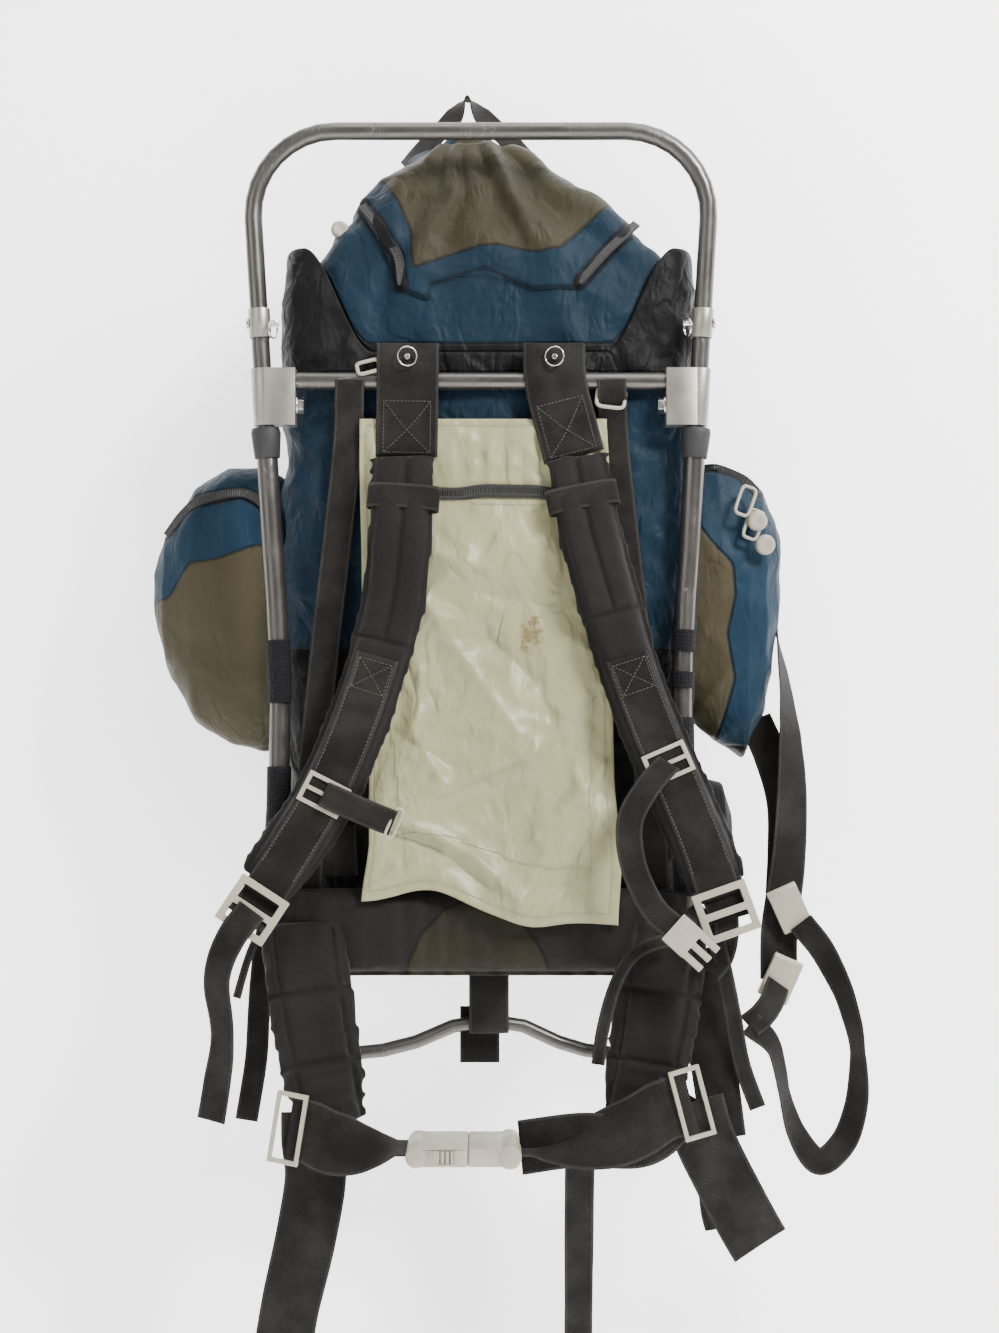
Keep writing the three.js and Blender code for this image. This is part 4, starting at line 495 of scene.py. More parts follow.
def inside(polygon, x, z):
    """Distance from a point to a closed outline in the X-Z plane, above zero inside it."""
    closed = polygon[-1:] + polygon
    within = False
    for (x0, z0), (x1, z1) in zip(closed, polygon):
        if (z0 > z) != (z1 > z) and x < (x1 - x0) * (z - z0) / (z1 - z0) + x0:
            within = not within
    return line_gap(closed, x, z) * (1 if within else -1)


def near_line(line, half):
    """Field above zero within that distance of a line seen from the front."""
    return lambda p: half - line_gap(line, p.x, p.z) if p.y < BAG_Y else FAR


def ripple(x, y, z, scale, seed=0.0):
    """Signed noise at a millimetre point."""
    return noise.noise(Vector((x / scale + seed, y / scale + seed * 1.7, z / scale - seed)))


def fold_noise(x, y, z, scale, seed=0.0):
    """Sharp-topped wrinkles, between minus one and one."""
    return 1 - 2.6 * abs(ripple(x, y, z, scale, seed)) ** 0.8


# Straps


def curve_point(points, share):
    """Point on the centripetal curve through the route's points."""
    place = share * (len(points) - 1)
    i = min(int(place), len(points) - 2)
    weight = place - i
    p1, p2 = points[i], points[i + 1]
    p0 = points[i - 1] if i > 0 else p1 * 2 - p2
    p3 = points[i + 2] if i + 2 < len(points) else p2 * 2 - p1
    d0, d1, d2 = [max((a - b).length_squared ** 0.25, 1e-4) for a, b in ((p0, p1), (p1, p2), (p2, p3))]
    t1 = ((p1 - p0) / d0 - (p2 - p0) / (d0 + d1) + (p2 - p1) / d1) * d1
    t2 = ((p2 - p1) / d1 - (p3 - p1) / (d1 + d2) + (p3 - p2) / d2) * d1
    w2, w3 = weight * weight, weight ** 3
    return p1 + t1 * weight + (p1 * -3 + p2 * 3 - t1 * 2 - t2) * w2 + (p1 * 2 - p2 * 2 + t1 + t2) * w3


def heading(points, share):
    """Direction of that curve."""
    return (curve_point(points, min(1, share + 1e-3)) - curve_point(points, max(0, share - 1e-3))).normalized()


def stations(rows, width, thick=WEB, across=None, count=60, first=0.0, last=1.0):
    """Places along a route with their across and outward directions. Rows are x, y, z, turn, wide, full."""
    points = [Vector(row[:3]) for row in rows]
    turns = [row[3] if len(row) > 3 else 0 for row in rows]
    wides = [row[4] if len(row) > 4 else 1 for row in rows]
    fulls = [row[5] if len(row) > 5 else 1 for row in rows]
    found = []
    for i in range(count + 1):
        share = lerp(first, last, i / count)
        at = curve_point(points, share)
        along = heading(points, share)
        if across is None:
            side = along.cross(FRONT).normalized()
        else:
            side = (across - along * across.dot(along)).normalized()
        side = Matrix.Rotation(radians(row_value(turns, share)), 3, along) @ side
        found.append({"at": at, "along": along, "side": side, "out": side.cross(along).normalized(),
                      "width": width * row_value(wides, share), "thick": thick * row_value(fulls, share)})
    return found


def lifted(found, lift, width=None, thick=None):
    """Stations that lie on the outer face of other stations."""
    return [{**s, "at": s["at"] + s["out"] * (s["thick"] / 2 + lift), "width": width or s["width"],
             "thick": thick or s["thick"]} for s in found]


def band(name, found, look="webbing", hides=(), columns=9, curl=0.0, wave=0.0):
    """Webbing swept along stations, with rounded selvedges and its own thread coordinates."""
    half = columns // 2
    across = [sin(pi / 2 * (i - half) / half) for i in range(columns)]
    section = [(u / 2, 1) for u in across] + [(u / 2, -1) for u in reversed(across)]
    points, uvs, edges = [], [], []
    length = 0.0
    for k, s in enumerate(found):
        if k:
            length += (s["at"] - found[k - 1]["at"]).length
        for u, face in section:
            near_edge = s["width"] * (0.5 - abs(u))
            thick = s["thick"] / 2 * min(1.0, 0.45 + near_edge / 1.2)
            cup = curl * (abs(u) * 2) ** 2 * s["width"] / 50
            flat = s["at"] + s["side"] * (u * s["width"])
            points.append(flat + s["out"] * (face * thick + cup + wave * ripple(*flat, 26)))
            uvs.append((u * s["width"], length))
            edges.append(near_edge)
    return shape(name, points, sweep_faces(len(found), len(section)), look, "webbing", uvs, {"edge": edges}, hides)


def on_band(found, u, share, lift=0.0):
    """Point on a strap's face: u in millimetres from its middle, share of its length."""
    place = min(max(share, 0), 1) * (len(found) - 1)
    low = min(int(place), len(found) - 2)
    a, b = found[low], found[low + 1]
    w = place - low
    out = a["out"].lerp(b["out"], w)
    at = a["at"].lerp(b["at"], w) + a["side"].lerp(b["side"], w) * u
    return at + out * (lerp(a["thick"], b["thick"], w) / 2 + lift), out


def resample(path, pitch):
    """(point, direction, normal) at even steps along a path of (point, normal)."""
    found = []
    left = pitch / 2
    for (a, na), (b, nb) in zip(path, path[1:]):
        span = (b - a).length
        if span < 1e-6:
            continue
        along = (b - a) / span
        while left <= span:
            found.append((a + along * left, along, na.lerp(nb, left / span).normalized()))
            left += pitch
        left -= span
    return found


def stitching(name, paths, look="thread", slot="webbing", gauge=0.42):
    """Rows of raised stitches laid along paths of (point, normal)."""
    length = sizes().stitch / MM
    thread_faces = sweep_faces(4, 6)
    points, faces = [], []
    for path in paths:
        for at, along, normal in resample(path, length * 1.35):
            side = along.cross(normal).normalized()
            start = len(points)
            sideways = [side * cos(k * pi / 3) + normal * sin(k * pi / 3) for k in range(6)]
            for t, size in ((-0.5, 0.35), (-0.3, 1.0), (0.3, 1.0), (0.5, 0.35)):
                points += [at + along * (t * length) + way * gauge * size for way in sideways]
            faces += [tuple(start + k for k in face) for face in thread_faces]
    return shape(name, points, faces, look, slot)


def tube(name, points, radius, look, slot, sides=12, closed=False):
    """Round bar or cord swept along points."""
    count = len(points)
    rings, uvs = [], []
    normal = Vector((0.13, 0.97, 0.2))
    length = 0.0
    for i, at in enumerate(points):
        before = points[i - 1] if closed or i else at
        after = points[(i + 1) % count] if closed or i < count - 1 else at
        along = (after - before).normalized()
        side = along.cross(normal).normalized()
        normal = side.cross(along).normalized()
        if i:
            length += (at - points[i - 1]).length
        for k in range(sides):
            angle = 2 * pi * k / sides
            rings.append(at + side * (cos(angle) * radius) + normal * (sin(angle) * radius))
            uvs.append((angle * radius, length))
    faces = sweep_faces(count, sides)
    if closed:
        offset = (count - 1) * sides
        shift = min(range(sides), key=lambda s: (rings[offset] - rings[s]).length)
        faces[-2:] = [(offset + k, (k + shift) % sides, (k + 1 + shift) % sides, offset + (k + 1) % sides)
                      for k in range(sides)]
    return shape(name, rings, faces, look, slot, uvs, {"edge": [5] * len(rings)})


# Routes, in millimetres: x, y, z, turn, and shares of width and thickness. The two pads and the two yoke webs
# share all but x, so their rows start with the left and the right x. STRAPS gives width, across and rows.

PAD_ROWS = [(-51.2, 92.5, -70.5, -326.5, 0, .92, .62), (-52.3, 97.1, -81.7, -351.8, 0, .95, .75),
    (-55.2, 105.3, -89.1, -391.7, 0, 1.02, 1), (-61.4, 121.5, -93.8, -449.6, 2, 1.04, 1),
    (-72.7, 134.3, -98.1, -496.6, 4, 1, .95), (-93, 156.3, -102.9, -558.2, 6, 1.02, 1),
    (-116.7, 179.5, -108.2, -612.5, 6, 1.03, 1), (-140.5, 195.7, -115.6, -652.3, 4, .98, .95),
    (-164.2, 208.5, -123, -688.5, 0, .86, .75)]
YOKE_ROWS = [(-51.2, 92.5, -68.6, -325), (-50.8, 86, -68.6, -299.9), (-50.3, 77.7, -68.6, -267.6),
    (-50.2, 75.5, -68.5, -249.4), (-50.2, 75.5, -66.7, -236), (-50.2, 75.5, -60.9, -227), (-50.2, 75.5, -55.4, -236),
    (-50.2, 75.5, -51.9, -249.4), (-50.3, 77.7, -51.6, -267.6), (-50.4, 79.2, -56.4, -273.5),
    (-50.6, 81.5, -64.3, -282.4), (-50.7, 84.3, -66.5, -293.3), (-51.2, 92.2, -66.6, -323.7)]

STRAPS = {
    "lower_strap_left": (25, None, [(-174.2, -141.4, -703.7, 0), (-189.9, -146.6, -724.7, 12),
        (-202.2, -144.9, -756.2, 24), (-198.7, -137.9, -808.7, 34), (-203.9, -132.6, -847.2, 20),
        (-209.2, -130.9, -878.7, 16)]),
    "lower_strap_right": (20, None, [(215, -133.1, -706.8, 0), (216.2, -128.1, -725.4, 10),
        (212.5, -123.2, -745.3, 24), (202.6, -123.2, -758.9, 34)]),
    "sternum_strap_left": (22, (0, 0, 1), [(-117.4, -124.8, -609.8, -20), (-91.3, -126, -621.4, 5),
        (-59.4, -127.2, -634.2, -8)]),
    "sternum_strap_right": (22, None, [(169.1, -122.1, -584.1, 30), (149.5, -131.9, -605.1, 24),
        (135.5, -138.9, -631.7, 8), (138.3, -144.5, -668.1, -6), (155.1, -150.1, -703.1, -10),
        (169.1, -152.9, -715.7, -10)]),
    "back_web_left": (25, None, [(-99.5, -68.6, -259), (-99.9, -69.6, -270.2), (-100.9, -60, -292),
        (-103.1, -60, -323.8), (-110.3, -61.5, -391.2), (-121.1, -67.5, -490.5), (-130.1, -75.6, -589.7),
        (-134.4, -76.2, -661.2), (-135.5, -76.2, -700.9)]),
    "belt_web_left": (50, None, [(-142.2, -157.7, -878, 0), (-126.4, -160.2, -880.5, 0), (-112.3, -165.2, -886.4, -6),
        (-93.9, -170.9, -891.1, -36), (-72, -171.8, -892.8, -66), (-54.5, -172, -892, -90), (-43.5, -172, -892, -90),
        (-35.1, -172, -892, -90)]),
    "belt_web_right": (50, None, [(184.2, -156.9, -858, 0), (161, -159.7, -864.1, 0), (140.4, -166.1, -874.9, 6),
        (113.4, -173.3, -884.7, 36), (81.2, -173, -890.6, 66), (55.5, -172, -892, 90), (44.5, -172, -892, 90),
        (36.1, -172, -892, 90)]),
    "belt_tail_left": (50, None, [(-123.8, -155.4, -866.1, 0), (-123.8, -152.8, -889, 0), (-121.2, -150.3, -917.1, -8),
        (-128.9, -150.3, -968.1, 4), (-141.6, -150.3, -1024.2, 16), (-149.3, -147.7, -1070.1, 14),
        (-156.9, -142.6, -1121.1, 20)]),
    "belt_tail_right": (50, None, [(185.9, -155.1, -858.1, 0), (194.3, -152.3, -886.1, 6), (211.1, -146.7, -921.1, 8),
        (230.7, -143.9, -958.9, -4), (241.9, -141.1, -978.5, -8)]),
    "belt_tail_middle": (24, None, [(93.3, -168, -889.1, 0), (93.3, -156.7, -934.1, 10), (93.3, -141, -1001.6, -12),
        (93.3, -132, -1069.1, -20), (94.5, -127.5, -1114.1, -10)]),
    "bottom_strap": (34, (1, 0, 0), [(19.5, -76.2, -729), (19.5, -76.2, -769), (19.5, -75.8, -797),
        (19.5, -75.4, -810), (19.5, -71.2, -816.9), (19.5, -64.1, -816.9), (19.5, -60, -810), (19.5, -59.6, -797),
        (19.5, -52, -748), (19.5, -51.4, -702)]),
    "bottom_strap_tail": (34, (1, 0, 0), [(11.5, -56.9, -797), (11.5, -57.5, -811), (11.5, -59.5, -845)]),
    "haul_loop": (25, (0, 1, 0), [(-58.4, 14.9, -54, 25), (-37.5, 11.9, -37.4, 50), (-12, 3, -13.3, 50), (0, 0, .8, 0),
        (13.6, 3, -13.3, 50), (42, 11.9, -37.4, 50), (64.7, 14.9, -54, 25)]),
    "side_strap": (32, None, [(280.4, 39.7, -470, -86), (286.5, 15.3, -531, -60), (286.5, -15.2, -607.2, -30),
        (280.4, -33.5, -677.4, -14), (271.2, -45.7, -732.3, 0), (269.7, -51.8, -775, 0)]),
    "side_loop_strap": (22.5, None, [(287.8, -57.8, -724.9, 0), (306.4, -61.8, -748.9, 20), (326.2, -65.8, -790.9, 48),
        (334.9, -69.8, -832.9, 66), (332.4, -73.8, -880.9, 40), (320, -77.8, -910.9, 20), (300.2, -81.8, -924.9, 10),
        (280.4, -85.8, -900.9, 40), (269.2, -89.8, -864.9, 60), (259.3, -93.8, -824.9, 50),
        (239.4, -95.8, -804.9, 20)]),
}
STRAPS["yoke_web_left"] = (53, (1, 0, 0), [(left, y, z) for left, right, y, z in YOKE_ROWS])
STRAPS["yoke_web_right"] = (53, (1, 0, 0), [(right, y, z) for left, right, y, z in YOKE_ROWS])
STRAPS["back_web_right"] = (25, None, [(2 * MIDDLE - x, y, z) for x, y, z in STRAPS["back_web_left"][2]])

WING_LEFT = [(-137.5, -98.1, -717, 0, .9, .6), (-135.8, -101.4, -736.8, -3, 1.05, 1),
    (-130.9, -108, -769.8, -8, 1.12, 1), (-124.3, -117.9, -807.7, -14, 1.14, .94),
    (-116, -131.1, -845.7, -20, 1.08, .86), (-106.1, -142.6, -882, -24, .8, .6)]
WING_RIGHT = [(2 * MIDDLE + 7 - x, y + 0.7, z, -turn, wide, full) for x, y, z, turn, wide, full in WING_LEFT]


def steps_along(rows):
    """Steps that a strap of those rows is swept in, about 3.5 mm each."""
    return int(sum((Vector(a[:3]) - Vector(b[:3])).length for a, b in zip(rows, rows[1:])) / 3.5) + 8


def route(name):
    """Stations of a strap in the table."""
    width, across, rows = STRAPS[name]
    return stations(rows, width, across=Vector(across) if across else None, count=steps_along(rows))


# Bag, lid and pockets. Rows of the bag and lid: share down, then shares of width and of depth

BAG_X = 7 + MIDDLE
BAG_Y = 39.7
BAG_HALF = 182
BAG_DEEP = 90
BAG_RIM = 232
BAG_FLOOR = 742
BAG_ROWS = [(0, .985, .97), (.1, 1, 1.02), (.27, .985, 1.09), (.46, 1, 1.06), (.68, .985, 1.13), (.88, .97, 1.06),
    (.97, .94, .97), (1, .86, .84)]
LID_TOP = 34
LID_HALF = 160
LID_ROWS = [(0, .12, .5, -.2), (.14, .36, .68, .14), (.3, .56, .82, .45), (.5, .72, .92, .72), (.75, .88, .95, .92),
    (1, 1, .955, .965)]
OLIVE_LID = [(-14, -44), (-75, -74), (-60, -100), (-48, -128), (-46, -160), (-20, -150), (2, -142), (22, -139),
    (62, -145), (80, -142), (104, -120), (128, -98), (55, -50), (30, -36), (0, -30)]


def outline(angle, half, deep, power):
    """Point on a rounded box's outline."""
    c, s = cos(angle), sin(angle)
    return (half * copysign(abs(c) ** (2 / power), c), deep * copysign(abs(s) ** (2 / power), s))


def rim_rise(across, back):
    """How far the bag's rim stands above its front: high ears at the front corners, lower flanks."""
    side = abs(across)
    rear = ease(-0.85, -0.3, back)
    ear = ease(0.56, 0.9, side) * (1 - rear)
    flank = ease(0.75, 0.95, side) * rear * (1 - ease(0.62, 0.9, back))
    return 92 * ear + 76 * flank


def bag_point(angle, down):
    """Place on the bag's wall, round it and down it."""
    wide = table_value(BAG_ROWS, 1, down)
    deep = table_value(BAG_ROWS, 2, down)
    x, y = outline(angle, BAG_HALF * wide, BAG_DEEP, 6)
    rise = rim_rise(x / (BAG_HALF * wide), y / BAG_DEEP)
    y *= deep if y > 0 else min(1, deep)
    return Vector((BAG_X + x, BAG_Y + y, -lerp(BAG_RIM - rise, BAG_FLOOR, down)))


def bag_side(side, z):
    """X of the bag's side wall at that height."""
    share = min(1, max(0, (-z - BAG_RIM + 76) / (BAG_FLOOR - BAG_RIM + 76)))
    return BAG_X + side * BAG_HALF * table_value(BAG_ROWS, 1, share)


def lid_point(angle, down):
    """Place on the lid, round it and down it."""
    power = lerp(2.2, 5, down)
    half = LID_HALF * table_value(LID_ROWS, 1, down)
    x, y = outline(angle, half, 1, power)
    front = BAG_DEEP * table_value(LID_ROWS, 2, down)
    back = BAG_DEEP * table_value(LID_ROWS, 3, down)
    rim = BAG_RIM - 0.8 - rim_rise((x / half) * (LID_HALF / BAG_HALF), y)
    return Vector((lerp(0, BAG_X + 3, down) + x, BAG_Y + lerp(-front, back, (y + 1) / 2), -lerp(LID_TOP, rim, down)))


def facing(place, x, z, lift=0.0, around=160, rings=50):
    """Place on a shell's front face, as seen from the front."""
    best = min((place(2 * pi * c / around, r / rings) for c in range(around) for r in range(rings + 1)),
               key=lambda at: (at.x - x) ** 2 + (at.z - z) ** 2 + 0.6 * at.y)
    return Vector((x, best.y - lift, z))


def shell(name, place, rings, around, look, slot, hides, fields, crease, closed=True):
    """A sewn cloth shell: rings of points with folds pushed along its own normal, then given a wall."""
    points = [[place(2 * pi * c / around, r / (rings - 1)) for c in range(around)] for r in range(rings)]
    uvs, moved = [], []
    marks = {key: [] for key in fields}
    lengths = [0.0] * around
    for r in range(rings):
        turn = 0.0
        for c in range(around):
            at = points[r][c]
            up = points[max(r - 1, 0)][c] - points[min(r + 1, rings - 1)][c]
            sideways = points[r][(c + 1) % around] - points[r][c - 1]
            out = sideways.cross(up)
            out = out.normalized() if out.length > 1e-9 else Vector((0, 0, 1))
            if c:
                turn += (at - points[r][c - 1]).length
            if r:
                lengths[c] += (at - points[r - 1][c]).length
            uvs.append((turn, lengths[c]))
            for key, field in fields.items():
                marks[key].append(field(at))
            moved.append(at + out * crease(at, out, r / (rings - 1)))
    faces = grid_faces(rings, around, True)
    if closed:
        middle = sum((moved[(rings - 1) * around + c] for c in range(around)), Vector()) / around
        moved.append(middle)
        uvs.append((0, 0))
        for key in fields:
            marks[key].append(fields[key](middle))
        faces += [((rings - 1) * around + c, (rings - 1) * around + (c + 1) % around, len(moved) - 1)
                  for c in range(around)]
    piece = shape(name, moved, faces, look, slot, uvs, marks, hides)
    solidify(piece, 1.4)
    settle(piece)


# Pads

PAD_SECTION = [(-.5, 0), (-.46, .24), (-.36, .42), (-.2, .5), (0, .44), (.2, .5), (.36, .42), (.46, .24), (.5, 0),
    (.44, -.3), (.25, -.46), (0, -.5), (-.25, -.46), (-.44, -.3)]
PRESSURE = 4
SIMULATED = 20  # frames of cloth simulation


def padded_body(found):
    """The closed form that a pad swells from, a little broader and thinner than its stations."""
    rings = []
    for s in found:
        rings += [s["at"] + s["side"] * (u * s["width"] * 1.07) + s["out"] * (v * s["thick"] * 0.98)
                  for u, v in PAD_SECTION]
    return rings, sweep_faces(len(found), len(PAD_SECTION))


def held_points(mesh):
    """The mesh's vertices as an array of rows."""
    found = np.zeros(len(mesh.vertices) * 3)
    mesh.vertices.foreach_get("co", found)
    return found.reshape(-1, 3)


def swollen(points, faces):
    """Blows cloth outwards from a closed form: voxel remesh, a short pressure simulation, then smoothing."""
    mesh = bpy.data.meshes.new("filling")
    mesh.from_pydata([tuple(Vector(p) * MM) for p in points], [], faces)
    body = bpy.data.objects.new("filling", mesh)
    bpy.context.scene.collection.objects.link(body)
    remesh = body.modifiers.new("even", "REMESH")
    remesh.mode = "VOXEL"
    remesh.voxel_size = sizes().voxel
    settle(body)
    start = held_points(body.data)
    cloth_sim = body.modifiers.new("cloth", "CLOTH")
    settings = cloth_sim.settings
    settings.use_pressure = True
    settings.uniform_pressure_force = PRESSURE
    settings.effector_weights.gravity = 0
    settings.quality = 4
    for step in range(1, SIMULATED + 1):
        bpy.context.scene.frame_set(step)
    graph = bpy.context.evaluated_depsgraph_get()
    move = held_points(body.evaluated_get(graph).data) - start
    far = np.linalg.norm(move, axis=1, keepdims=True)
    move *= np.minimum(1, sizes().swell / np.maximum(far, 1e-9))
    body.data.vertices.foreach_set("co", (start + move).ravel())
    body.modifiers.remove(cloth_sim)
    bpy.context.scene.frame_set(1)
    fine = body.modifiers.new("fine", "SUBSURF")
    fine.levels = fine.render_levels = 2
    settle(body)
    moved, polygons = held_points(body.data), [tuple(p.vertices) for p in body.data.polygons]
    bpy.data.objects.remove(body)
    return moved / MM, polygons


def pad(name, found, look, hides, seams=(), cross=(), gathers=0.0, patch=None):
    """A stuffed piece along stations, with channels sewn along it and across it."""
    points, polygons = swollen(*padded_body(found))
    at = np.array([tuple(s["at"]) for s in found])
    side = np.array([tuple(s["side"]) for s in found])
    out = np.array([tuple(s["out"]) for s in found])
    nearest = np.argmin(((points[:, None, :] - at[None]) ** 2).sum(2), axis=1)
    offset = points - at[nearest]
    u = (offset * side[nearest]).sum(1)
    v = (offset * out[nearest]).sum(1)
    run = np.concatenate([[0], np.cumsum(np.linalg.norm(np.diff(at, axis=0), axis=1))])
    along = run[nearest] + ((offset - u[:, None] * side[nearest] - v[:, None] * out[nearest])
                            * np.cross(out[nearest], side[nearest])).sum(1)
    depth = np.zeros(len(points))
    channel = sizes().channel / MM
    for place, first, last in seams:
        mask = (along > run[-1] * first) & (along < run[-1] * last)
        depth = np.maximum(depth, channel * np.exp(-((u - place) / 2.6) ** 2) * mask)
    for share in cross:
        depth = np.maximum(depth, channel * 1.2 * np.exp(-((along - run[-1] * share) / 3.0) ** 2))
    front = np.where(v > 0, 1.0, 0.35)
    face = np.clip(v / 4, -1, 1)
    shift = depth * front * -face
    soft = np.array([ripple(*p, 34, 3.1) * 1.1 + ripple(*p, 13, 1.7) * 0.5 for p in points])
    if gathers:
        soft += gathers * np.sin(along / 3.6 + 2.2 * np.sin(along / 23)) * np.clip(1 - np.abs(v) / 40, 0, 1)
    points = points + out[nearest] * (shift + soft * face * 0.7)[:, None]
    fields = {"patch": [patch(p) for p in points]} if patch else None
    piece = shape(name, points, polygons, look, "pad_cloth", None, fields, hides)
    return piece


# Small fittings


def dress(name, look, bevel=0.0, sharp=38):
    """Finish, smooth faces and rounded edges on a solid of the frame."""
    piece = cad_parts[name]
    material = finish(look)
    if piece.material_slots:
        for held in piece.material_slots:
            held.material = material
    else:
        piece.data.materials.append(material)
    weld = piece.modifiers.new("weld", "WELD")
    weld.merge_threshold = 2e-6
    piece.data.polygons.foreach_set("use_smooth", [True] * len(piece.data.polygons))
    if bevel:
        edges = piece.modifiers.new("edges", "BEVEL")
        edges.width = bevel * MM
        edges.segments = 3
        edges.limit_method = "ANGLE"
        edges.angle_limit = radians(sharp)
        edges.harden_normals = True
    else:
        normals = piece.modifiers.new("normals", "WEIGHTED_NORMAL")
        normals.keep_sharp = True
    return piece


def split_ring(name, hole, radius, turn=0.0):
    """Coiled steel ring that hangs from a pin's cross hole."""
    side = Vector((cos(turn), sin(turn), 0))
    middle = hole + Vector((0, 0, -radius + 0.6))
    path = []
    for i in range(72):
        angle = pi / 2 + 2 * pi * 1.9 * i / 71
        path.append(middle + side * (cos(angle) * radius) + Vector((0, 0, sin(angle) * radius))
                    + side.cross(Vector((0, 0, 1))) * (0.62 * (i / 71 - 0.5) * 2))
    return tube(name, path, 0.6, "steel", "steel", 8)


PLASTIC = ("plastic", "buckle_plastic")  # finish and slot of moulded pieces


def lathe(name, at, axis, profile, sides=24):
    """Turned plastic piece: profile gives (distance along the axis, radius)."""
    axis = axis.normalized()
    first = axis.orthogonal().normalized()
    second = axis.cross(first)
    turns = [first * cos(2 * pi * k / sides) + second * sin(2 * pi * k / sides)
             for k in range(sides)]
    points = [at + axis * far + turn * radius for far, radius in profile for turn in turns]
    return shape(name, points, sweep_faces(len(profile), sides), *PLASTIC)


def buckle_ring(name, middle, wide, tall, turn, gauge=1.7):
    """Rounded rectangular ring of moulded plastic, facing the front."""
    path = []
    for k in range(48):
        angle = 2 * pi * k / 48
        u, v = outline(angle, wide / 2, tall / 2, 5)
        path.append(middle + Vector((u * cos(turn) - v * sin(turn), 0.25 * v, u * sin(turn)
                                     + v * cos(turn))))
    return tube(name, path, gauge, *PLASTIC, 10, True)


def knob(name, at, axis, radius):
    """Round moulded zip pull with a thumb dish."""
    dish = ((-4, 0.7), (-3, 0.92), (-1, 1), (1.5, 0.97), (3, 0.8), (3.3, 0.6), (2.6, 0.4))
    return lathe(name, at, axis, [(-4, 0.2), *[(far, radius * share) for far, share in dish], (2.3, 0.2)])


def zip_band(name, points, facing_way, width):
    """Zip tape laid along points, facing one way."""
    found = []
    for i in range(len(points) * 10 - 9):
        share = i / (len(points) * 10 - 10)
        along = heading(points, share)
        out = Vector(facing_way).normalized()
        out = (out - along * out.dot(along)).normalized()
        found.append({"at": curve_point(points, share), "along": along, "side": along.cross(out).normalized(),
                      "out": out, "width": width, "thick": 1.2})
    return band(name, found, "zip", columns=7)


# Back panel: share down, forward, width to the left and right, fold. Pockets: shares out, top, foot and depth
PANEL_ROWS = [(0, 4.6, 1, 1, 0), (.11, 4.6, 1, 1.02, 0), (.3, 12, .98, 1.03, .6), (.5, 16, .96, 1.04, .8),
    (.72, 24, .91, 1.05, 1), (.88, 36, .9, 1.1, 1), (1, 47, .96, 1.07, .8)]
POCKET_LEFT = [(0, .05, .99, 1), (.2, 0, 1, 1.03), (.45, 0, .97, 1), (.7, .07, .9, .88), (.92, .23, .7, .58),
    (1, .36, .52, .22)]
POCKET_RIGHT = [(0, .06, .9, 1), (.3, .01, 1, 1.03), (.6, .05, 1.06, 1), (.8, .11, .9, .84), (.94, .21, .64, .56),
    (1, .3, .38, .22)]
POCKET_MESH = [(0, 0, 1, 1), (.8, .06, .94, .96), (1, .26, .72, .66)]
OLIVE_LEFT = [(-330, -470), (-265, -442), (-246, -412), (-223, -409), (-188, -397), (-120, -392), (-120, -640),
    (-330, -640)]
OLIVE_RIGHT = [(150, -350), (195, -363), (215, -392), (235, -414), (237, -440), (230, -476), (237, -515), (226, -560),
    (215, -600), (150, -600)]
# Lines of the zips and the outline of the lid's raised flap
LID_ZIPS = {"left": [(-92, -100), (-74, -125), (-60, -148), (-56, -174)],
            "right": [(149, -115), (136, -129), (122, -143), (97, -172)]}
POCKET_ZIPS = {"left": [(-271, -387), (-256, -368), (-241, -357), (-200, -350), (-183, -359), (-170, -386)],
               "right": [(199, -341), (211, -327), (222, -326), (237, -331), (250, -338), (259, -348)]}
FLAP = [(-94, -99), (-72, -140), (-58, -176), (-34, -186), (-31, -173), (13, -158), (57, -176), (96, -176),
    (125, -145), (152, -113), (125, -90), (55, -45), (-23, -45), (-73, -72)]
# Depth, share of the half width, and how far forward
RAIL_ROWS = [(400, .919, 0), (462, .894, .1), (528, .881, .45), (607, .884, .8), (690, .894, 1), (745, .899, .96)]


RAIL_WRAPS = (("left", -1, ((482, 536), (590, 700))), ("right", 1, ((473, 492), (509, 523), (548, 700))))
SPLIT_RINGS = (("yoke_left", (-50.2, -74, -232), 0.2, 8.2), ("yoke_right", (75.5, -74, -232), -0.3, 8.2),
               ("collar_left", (-165.5, -67, -209), 1.2, 7.4), ("collar_right", (189.7, -67, -207), 1.9, 7.4))


def rail_at(side, down):
    """Middle of a rail at that depth below the hanging point."""
    out, fore = [table_value(RAIL_ROWS, key, down) for key in (1, 2)]
    return Vector((MIDDLE + side * 195.7 * out, -60 - 8 * fore, -down))


